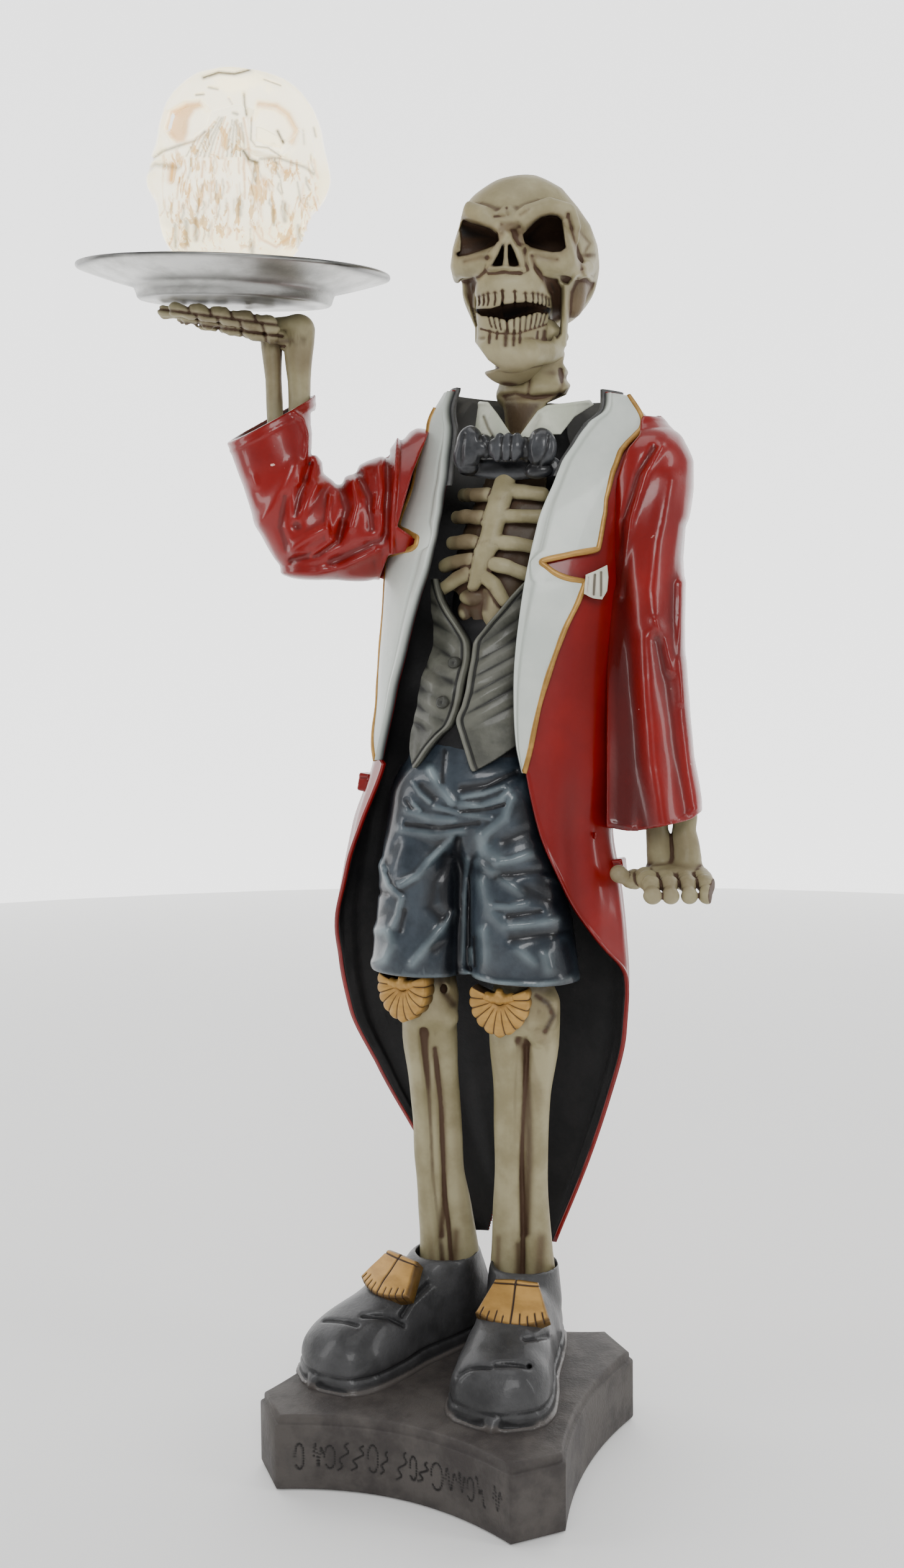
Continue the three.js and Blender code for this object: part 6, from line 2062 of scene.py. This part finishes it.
SHORTS_SHADOWS = [
    ([(595, 1170), (655, 1235), (652, 1290), (632, 1340), (612, 1375), (595, 1375)], 14, 0.95),
    ([(733, 1352), (746, 1378), (737, 1450), (733, 1575), (712, 1575), (720, 1480), (700, 1440),
      (712, 1395)], 8, 0.9),
    ([(826, 1300), (850, 1270), (960, 1480), (950, 1560), (915, 1530), (890, 1470), (856, 1440),
      (862, 1400),
      (838, 1340)], 16, 0.9),
]


def shorts_sketch():
    """Folds of the shorts: pale ridges, partly pale paint and partly painted highlight, and black painted
    shade in the deep folds and shadows.
    """
    cloth = Sketch(860, 1062)
    cloth.lines(SHORTS_RIDGES, "pale")
    cloth.lines(SHORTS_VALLEYS, "black")
    for corners, blur, black in SHORTS_SHADOWS:
        cloth.patch(corners, blur, 0, black=black)
    return cloth


def make_shorts():
    clay = Clay((-92, -8, 318), (96, 112, 506), 1.15)
    deep = (0, 1, 0)
    clay.add(limb([(0, 52, 500), (0, 50, 470), (0, 50, 452)], [36, 42, 43], (1, 0, 0), [1.3, 1.35, 1.3]))
    for x0, x1 in ((-31, -38), (32, 44)):
        rows = [((mix(x0, x1, t), mix(47, 42, t), z), half, mix(1.12, 0.9, t))
                for t, z, half in ((0.1, 458, 30), (0.35, 425, 34), (0.65, 384, 36.5), (1, 330, 39.5))]
        clay.add(limb([r[0] for r in rows], [r[1] for r in rows], deep, [r[2] for r in rows]), soft=7)
    clay.press(lambda x, y, z: lumps(x, y, z, 34, 141) + 0.3 * lumps(x, y, z, 15, 142))
    cloth = shorts_sketch()
    clay.draw(cloth)
    clay.cut(slab((0, 45, 302), (120, 80, 30.5), turned(y=0.8), 0.5), soft=1.5)
    for x in (-38, 44):
        clay.cut(limb([(x, 42, 360), (x, 42, 310)], [30, 35], deep, 0.9), soft=2)
    skin = cloth.colour(clay.skin(fine=2.4, broad=8))
    points = skin.points
    hem = np.exp(-((points[:, 2] - 334) / 1.4) ** 2) * 0.35
    patchy = 0.7 + 0.35 * lumps(*points.T, 9, 143)
    skin.marks["pale"] = np.clip(skin.marks["pale"] * patchy + hem, 0, 0.9)
    # The outer sides are made darker: painted shade.
    sides = ramp(np.abs(points[:, 0] - 2), 62, 80) * 0.6
    skin.marks["black"] = np.clip(np.maximum(skin.marks["black"], sides), 0, 1)
    figure_piece("shorts", skin, DENIM)


# Leg bones: each shin has two bones; rows are z, then x, y and reach of the outer and the inner bone

RIGHT_SHIN = [(96, -36, 58, 13.5, -17, 66, 13), (128, -37, 56, 12, -18, 64, 11),
              (180, -39, 52, 10.8, -24, 60, 9.6),
              (240, -40, 49, 11.8, -26, 56, 10), (285, -42, 46, 14.5, -28, 52, 12),
              (312, -40, 46, 15.5, -27, 50, 13)]
LEFT_SHIN = [(96, 21, 58, 13.5, 45, 64, 13), (128, 22, 57, 12, 44, 63, 11),
             (180, 24, 54, 10.8, 43, 60, 9.6),
             (240, 27, 51, 11.8, 46, 56, 10), (285, 29, 47, 14.5, 53, 52, 12),
             (312, 30, 46, 16, 52, 50, 14)]


# Rows are places in the picture, width, how far pressed in, and how brown and how black
SHIN_STAINS_AND_SHADE = [
    ([(845, 1687), (850, 1760), (852, 1850), (848, 1986)], 7, 1.2, 0.95, 0.25),
    ([(803, 1995), (801, 2050)], 5, 0.3, 0.8, 0.0), ([(834, 2005), (836, 2060)], 5, 0.5, 0.8, 0.0),
    ([(872, 1995), (868, 2055)], 8, 0.5, 0.85, 0.1), ([(735, 1985), (732, 2030)], 7, 0.4, 0.85, 0.1),
    ([(708, 1570), (714, 1596), (730, 1618)], 7, 0.8, 0.9, 0.55),
    ([(864, 1604), (882, 1616), (892, 1636), (878, 1662)], 5, 0.8, 0.9, 0.6),
    ([(700, 1690), (712, 1780), (716, 1880), (712, 1990)], 5, 0.8, 0.8, 0.1),
]


def leg_sketch():
    """Brown glaze that ran down the shins, and brown and black painted shade round the knees and in the
    groove between the bones.
    """
    stains_and_shade = Sketch(880, 1120)
    stains_and_shade.lines(SHIN_STAINS_AND_SHADE, "brown", "black")
    return stains_and_shade


def make_leg_bones():
    skins = []
    for side, rows, seed in ((-1, RIGHT_SHIN, 151), (1, LEFT_SHIN, 161)):
        clay = Clay((min(r[1] for r in rows) - 20, 24, 84), (max(r[4] for r in rows) + 24, 84, 352), 1.1)
        heights = np.linspace(92, 312, 30)
        path = spline([r[0] for r in rows], [r[1:] for r in rows], heights)
        front = [(x, y, z) for (x, y, _, _, _, _), z in zip(path, heights)]
        back = [(x, y, z) for (_, _, _, x, y, _), z in zip(path, heights)]
        clay.add(limb(front, path[:, 2]))
        clay.add(limb(back, path[:, 5]), soft=3)
        groove = [(mix(a[0], b[0], 0.52), mix(a[1], b[1], 0.5) - 13.5, a[2]) for a, b in zip(front, back)]
        clay.cut(limb(groove[2:-3], 3.2), soft=4)
        middle = -36 if side < 0 else 40
        clay.add(limb([(middle, 47, 306), (middle, 47, 350)], [20, 19], (1, 0, 0), 1.12), soft=5)
        if side > 0:
            for u, v, r in ((868, 1606, 7), (884, 1618, 7.5), (880, 1640, 8), (868, 1668, 7)):
                clay.add(ball(seen(u, v, 42), r), soft=4)
            clay.cut(ball(seen(893, 1603, 36), 4), ball(seen(890, 1634, 35), 3.6), soft=2)
        else:
            clay.add(ball(seen(716, 1606, 44), 7), ball(seen(722, 1640, 46), 7.5), soft=4)
            clay.cut(ball(seen(712, 1592, 38), 4), soft=2)
        clay.press(lambda x, y, z: 0.6 * lumps(x, y, z * 0.25, 9,
                                               seed) + 0.5 * lumps(x, y, z, 22, seed + 1))
        stains_and_shade = leg_sketch()
        clay.draw(stains_and_shade)
        skins.append(stains_and_shade.colour(clay.skin(fine=2.4, broad=8)))
    skin = joined(skins)
    x, y, z = skin.points.T
    streaks = ramp(lumps(x, y, z * 0.10, 6, 171), 0.35, 1.1)
    low = ramp(128 - z, 0, 30)
    # The brown near the top and the black where the bones go up under the shells and the shorts are painted
    # shade.
    stain = np.clip(streaks * (0.28 + 0.6 * low) + 0.3 * ramp(z, 292, 312), 0, 0.85)
    skin.marks["brown"] = np.maximum(skin.marks["brown"], stain)
    skin.marks["black"] = np.maximum(skin.marks["black"], ramp(z, 318, 330) * 0.8)
    figure_piece("leg_bones", skin, BONE)


# Kneecaps: scallop shells that spread from a hinge

def shell_skin(at, half, height, turn):
    rows, cols = 60, 220
    out = np.linspace(0, 1, rows)[:, None]
    a = np.radians(np.linspace(-112, 112, cols))[None, :]
    flutes = 11
    phase = (np.degrees(a) + 112) / 224 * flutes
    bead = np.abs(np.sin(math.pi * phase))
    rim = height * (1 - 0.16 * np.abs(np.sin(a))) + 1.3 * (bead**0.6 - 0.5)
    reach = mix(4.5, rim, out)
    bulge = 3 + 7 * np.sin(math.pi * (0.15 + 0.6 * out)) - 1.5 * ramp(out, 0.93, 1.0)
    flute = (bead**0.45 - 0.75) * 1.7 * ramp(out, 0.05, 0.35)
    wide = np.sin(a) * reach * half / height
    deep = -(bulge + flute)
    up = height * 0.42 - np.cos(a) * reach
    outer = np.stack([wide, deep, up], -1)
    inner = np.stack([wide * 0.97, np.full_like(wide, 5.0), up], -1)
    groove = np.clip(1 - bead / 0.30, 0, 1) * ramp(out, 0.08, 0.3)
    ink = np.clip(groove * 0.95 + 0.35 * (1 - ramp(out, 0.0, 0.12)), 0, 1)
    fan = shell_of(outer, inner, {"ink": ink, "crease": groove * 0.4}, {"ink": 0.6})
    clay = Clay((-16, -18, height * 0.42 - 10), (16, 10, height * 0.42 + 12), 0.5)
    for x, z, r in ((-9, 1.5, 3.6), (-5, 0.5, 3.6), (0, 1.0, 5.0), (5, 0.5, 3.6), (9, 1.5, 3.6),
                    (0, 5.5, 2.6)):
        clay.add(ball((x, -6.0, height * 0.42 + z), (r, 4.6, r)), soft=1.2)
    fan = fan + clay.skin(fine=1.0, broad=3)
    place = Matrix.Translation(at) @ Matrix.Rotation(math.radians(turn), 4, "Z")
    return fan.moved(place)


def buckle_skin(at, toe_out, seed):
    rows, cols = 70, 120
    v = np.linspace(0, 1, rows)[:, None]
    u = np.linspace(-1, 1, cols)[None, :]
    x = u * (15.5 + 11 * v)
    y = mix(15.0, -11 - 8 * (1 - u**2), v)
    bulge = 2.6 + 1.6 * (1 - u**2) + 0.6 * lumps(x, y, 0, 12, seed)
    edge = np.minimum(np.minimum(1 - np.abs(u), v), 1 - v)
    bulge = bulge - 1.6 * np.exp(-(edge / 0.03) ** 2)
    line = np.exp(-(x / 0.75) ** 2) + np.exp(-((v - 0.13) / 0.018) ** 2)
    for k in (-0.86, -0.66, -0.45, -0.24, 0.24, 0.45, 0.66, 0.86):
        start = 0.70 + 0.08 * abs(math.sin(k * 9 + seed))
        line = line + np.exp(-((u - k) / 0.020) ** 2) * ramp(v, start, start + 0.05)
    line = np.clip(line, 0, 1)
    outer = np.stack([x + 0 * y, y + 0 * x, bulge - 0.9 * line], -1)
    inner = np.stack([x + 0 * y, y + 0 * x, np.full_like(y + 0 * x, -7.5)], -1)
    skin = shell_of(outer, inner, {"ink": np.maximum(line, np.exp(-(edge / 0.05) ** 2) * 0.8),
                                   "crease": line * 0.5}, {"ink": 0.3})
    place = (Matrix.Translation(at) @ Matrix.Rotation(math.radians(toe_out), 4, "Z")
             @ Matrix.Rotation(math.radians(42), 4, "X"))
    return skin.moved(place)


# Shoes: share of the length from the heel, half width and height over the plinth

SHOE_LENGTH = 163.0
SHOE_HEEL_BACK = 35.0
SHOE_SECTIONS = [(-0.02, 6, 28), (0.0, 12, 42), (0.06, 23, 56), (0.3, 28, 64), (0.5, 29, 63),
                 (0.66, 33, 51),
                 (0.82, 35, 42), (0.93, 30, 34), (0.985, 17, 20), (1.005, 6, 9)]


def shoe_shape(ankle, toe_out):
    a = math.radians(toe_out)
    forward, side = vec(math.sin(a), -math.cos(a)), vec(math.cos(a), math.sin(a))
    heel = vec(*ankle) - forward * SHOE_HEEL_BACK
    shares = [s[0] for s in SHOE_SECTIONS]
    sizes = [s[1:] for s in SHOE_SECTIONS]

    def distance(x, y, z):
        along = ((x - heel[0]) * forward[0] + (y - heel[1]) * forward[1]) / SHOE_LENGTH
        across = (x - heel[0]) * side[0] + (y - heel[1]) * side[1]
        size = spline(shares, sizes, along)
        half, tall = size[..., 0], size[..., 1]
        up = z - PLINTH_TOP
        reach = (np.abs(across / half) ** 2.5 + (np.maximum(up, 0) / tall) ** 3.0) ** (1 / 2.7)
        over = np.abs(along - np.clip(along, shares[0], shares[-1])) * SHOE_LENGTH
        flat = (reach - 1) * np.minimum(half, tall) * 0.85
        return np.maximum(flat + over, -up - 1.5)

    ends = np.array([heel - forward * 4, heel + forward * (SHOE_LENGTH + 4)])
    low = np.array([*(ends.min(0) - 40), PLINTH_TOP - 3])
    high = np.array([*(ends.max(0) + 40), PLINTH_TOP + 68])
    return low, high, distance


def sole_outline(ankle, toe_out):
    a = math.radians(toe_out)
    forward, side = vec(math.sin(a), -math.cos(a)), vec(math.cos(a), math.sin(a))
    heel = vec(*ankle) - forward * SHOE_HEEL_BACK
    shares = np.linspace(-0.01, 1.0, 26)
    halves = spline([s[0] for s in SHOE_SECTIONS], [s[1] for s in SHOE_SECTIONS], shares)
    right = [tuple(heel + forward * SHOE_LENGTH * t + side * h) for t, h in zip(shares, halves)]
    left = [tuple(heel + forward * SHOE_LENGTH * t - side * h) for t, h in zip(shares, halves)]
    return right + left[::-1]


RIGHT_ANKLE, RIGHT_TOE_OUT = (-29, 60), -24
LEFT_ANKLE, LEFT_TOE_OUT = (35, 60), 10
RIGHT_CREASES = [[(522, 2127), (550, 2128), (575, 2134)], [(585, 2120), (625, 2122), (650, 2135)],
                 [(648, 2120), (662, 2098), (690, 2070)]]
LEFT_CREASES = [[(737, 2216), (756, 2204), (790, 2203)], [(800, 2199), (850, 2201), (899, 2217)],
                [(846, 2157), (866, 2155), (884, 2152)], [(904, 2150), (905, 2170), (904, 2190)]]
SHOE_VOXEL = 1.15


def make_shoes():
    skins = []
    for ankle, toe_out, creases, seed in ((RIGHT_ANKLE, RIGHT_TOE_OUT, RIGHT_CREASES, 181),
                                          (LEFT_ANKLE, LEFT_TOE_OUT, LEFT_CREASES, 191)):
        shape = shoe_shape(ankle, toe_out)
        low, high, _ = shape
        clay = Clay(low - 4, high + 2, SHOE_VOXEL)
        clay.add(shape)
        x, y = ankle
        clay.add(limb([(x, y - 2, 92), (x, y - 2, 108)], 25.5, (0, 1, 0), 1.2), soft=7)
        clay.cut(slab((x, y, 146), (60, 70, 30.5), turned(x=-3)), soft=2.5)
        bore = limb([(x, y - 1, 126), (x, y - 1, 112)], 22.5, (0, 1, 0), 1.2)
        clay.cut(bore, soft=2)
        clay.press(lambda x, y, z: (0.5 * lumps(x, y, z, 30, seed) + 0.25 * lumps(x, y, z, 12, seed + 1)
                                    + 0.9 * np.exp(-((z - PLINTH_TOP - 10.5) / 1.1) ** 2)
                                    - 0.8 * ramp(PLINTH_TOP + 9.5 - z, 0, 2)))
        for places in creases:
            grooved(clay, places, 1.3, 3.0)
        sole = sole_outline(ankle, toe_out)

        def rim(x, y, z):
            flat = from_patch(*np.broadcast_arrays(x, y), sole)
            return np.maximum(flat - 3.6, np.abs(z - PLINTH_TOP) - 1.5)
        clay.add((low, high, rim), soft=3.0)
        skin = clay.skin(fine=2.4, broad=8)
        points = skin.points
        outside = from_patch(points[:, 0], points[:, 1], sole)
        skin.marks["base"] = ramp(outside, 1.0, 2.0) * ramp(PLINTH_TOP + 5 - points[:, 2], 0, 2)
        # Black inside the opening round the ankle: painted shade.
        skin.marks["black"] = on_surface(points, [bore], 2.0)
        skins.append(skin)
    figure_piece("shoes", joined(skins), LEATHER)


def make_pocket_square():
    corners = [(943, 926), (960, 919), (978, 910), (980, 930), (978, 952), (970, 966), (955, 964),
               (940, 957)]
    middle = seen(960, 938, 34)
    clay = Clay(middle - (18, 22, 22), middle + (18, 26, 22), 0.6)
    over, under = inside_coat(-6.5)[2], inside_coat(-0.2)[2]
    low, high, outline = well(corners, 850, 1040)
    clay.add((low, high, lambda x, y, z: np.maximum(outline(x, y, z),
                                                    np.maximum(over(x, y, z), -under(x, y, z)))))
    folds = Sketch(850, 1060)
    folds.line([(958, 926), (956, 958)], 3, 1.4, pink=0.8)
    folds.line([(968, 922), (968, 960)], 3, 1.2, pink=0.7)
    folds.line([(947, 930), (945, 955)], 3, 1.0, pink=0.6)
    clay.draw(folds)
    figure_piece("pocket_square", folds.colour(clay.skin(fine=1.4, broad=4)), LINEN)


def make_waist_tabs():
    skins = []
    for z, angle in ((472, -84), (412, 86)):
        at = coat_points(np.array([float(z)]), angle, 1.0)[0]
        clay = Clay(at - 12, at + 12, 0.6)
        clay.add(slab(at, (4.5, 6.5, 7), turned(y=10 if angle < 0 else -8), 1.6))
        clay.cut(limb([at + (-8, -6.6, 3.5), at + (8, -6.6, 3.5)], 0.9), soft=1.0)
        clay.press(lambda x, y, z: 0.3 * lumps(x, y, z, 7, 211))
        skins.append(clay.skin(fine=1.4, broad=4))
    figure_piece("waist_tabs", joined(skins), RED)


make_shorts()
make_leg_bones()
make_pocket_square()
make_waist_tabs()
shells = shell_skin((-44, 26, 313), 25, 27, -8) + shell_skin((31, 26, 308), 26, 27, 6)
figure_piece("knee_shells", shells, SHELL_GOLD)
buckles = buckle_skin((-48, 4, 113), -24, 3) + buckle_skin((48.5, 0.5, 109), 10, 4)
figure_piece("shoe_buckles", buckles, GOLD)
make_shoes()


def write_sizes():
    boxes = {"cad": CAD_BOX, "visual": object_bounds()}
    plain = {name: [list(map(float, corner)) for corner in box] for name, box in boxes.items()}


write_sizes()
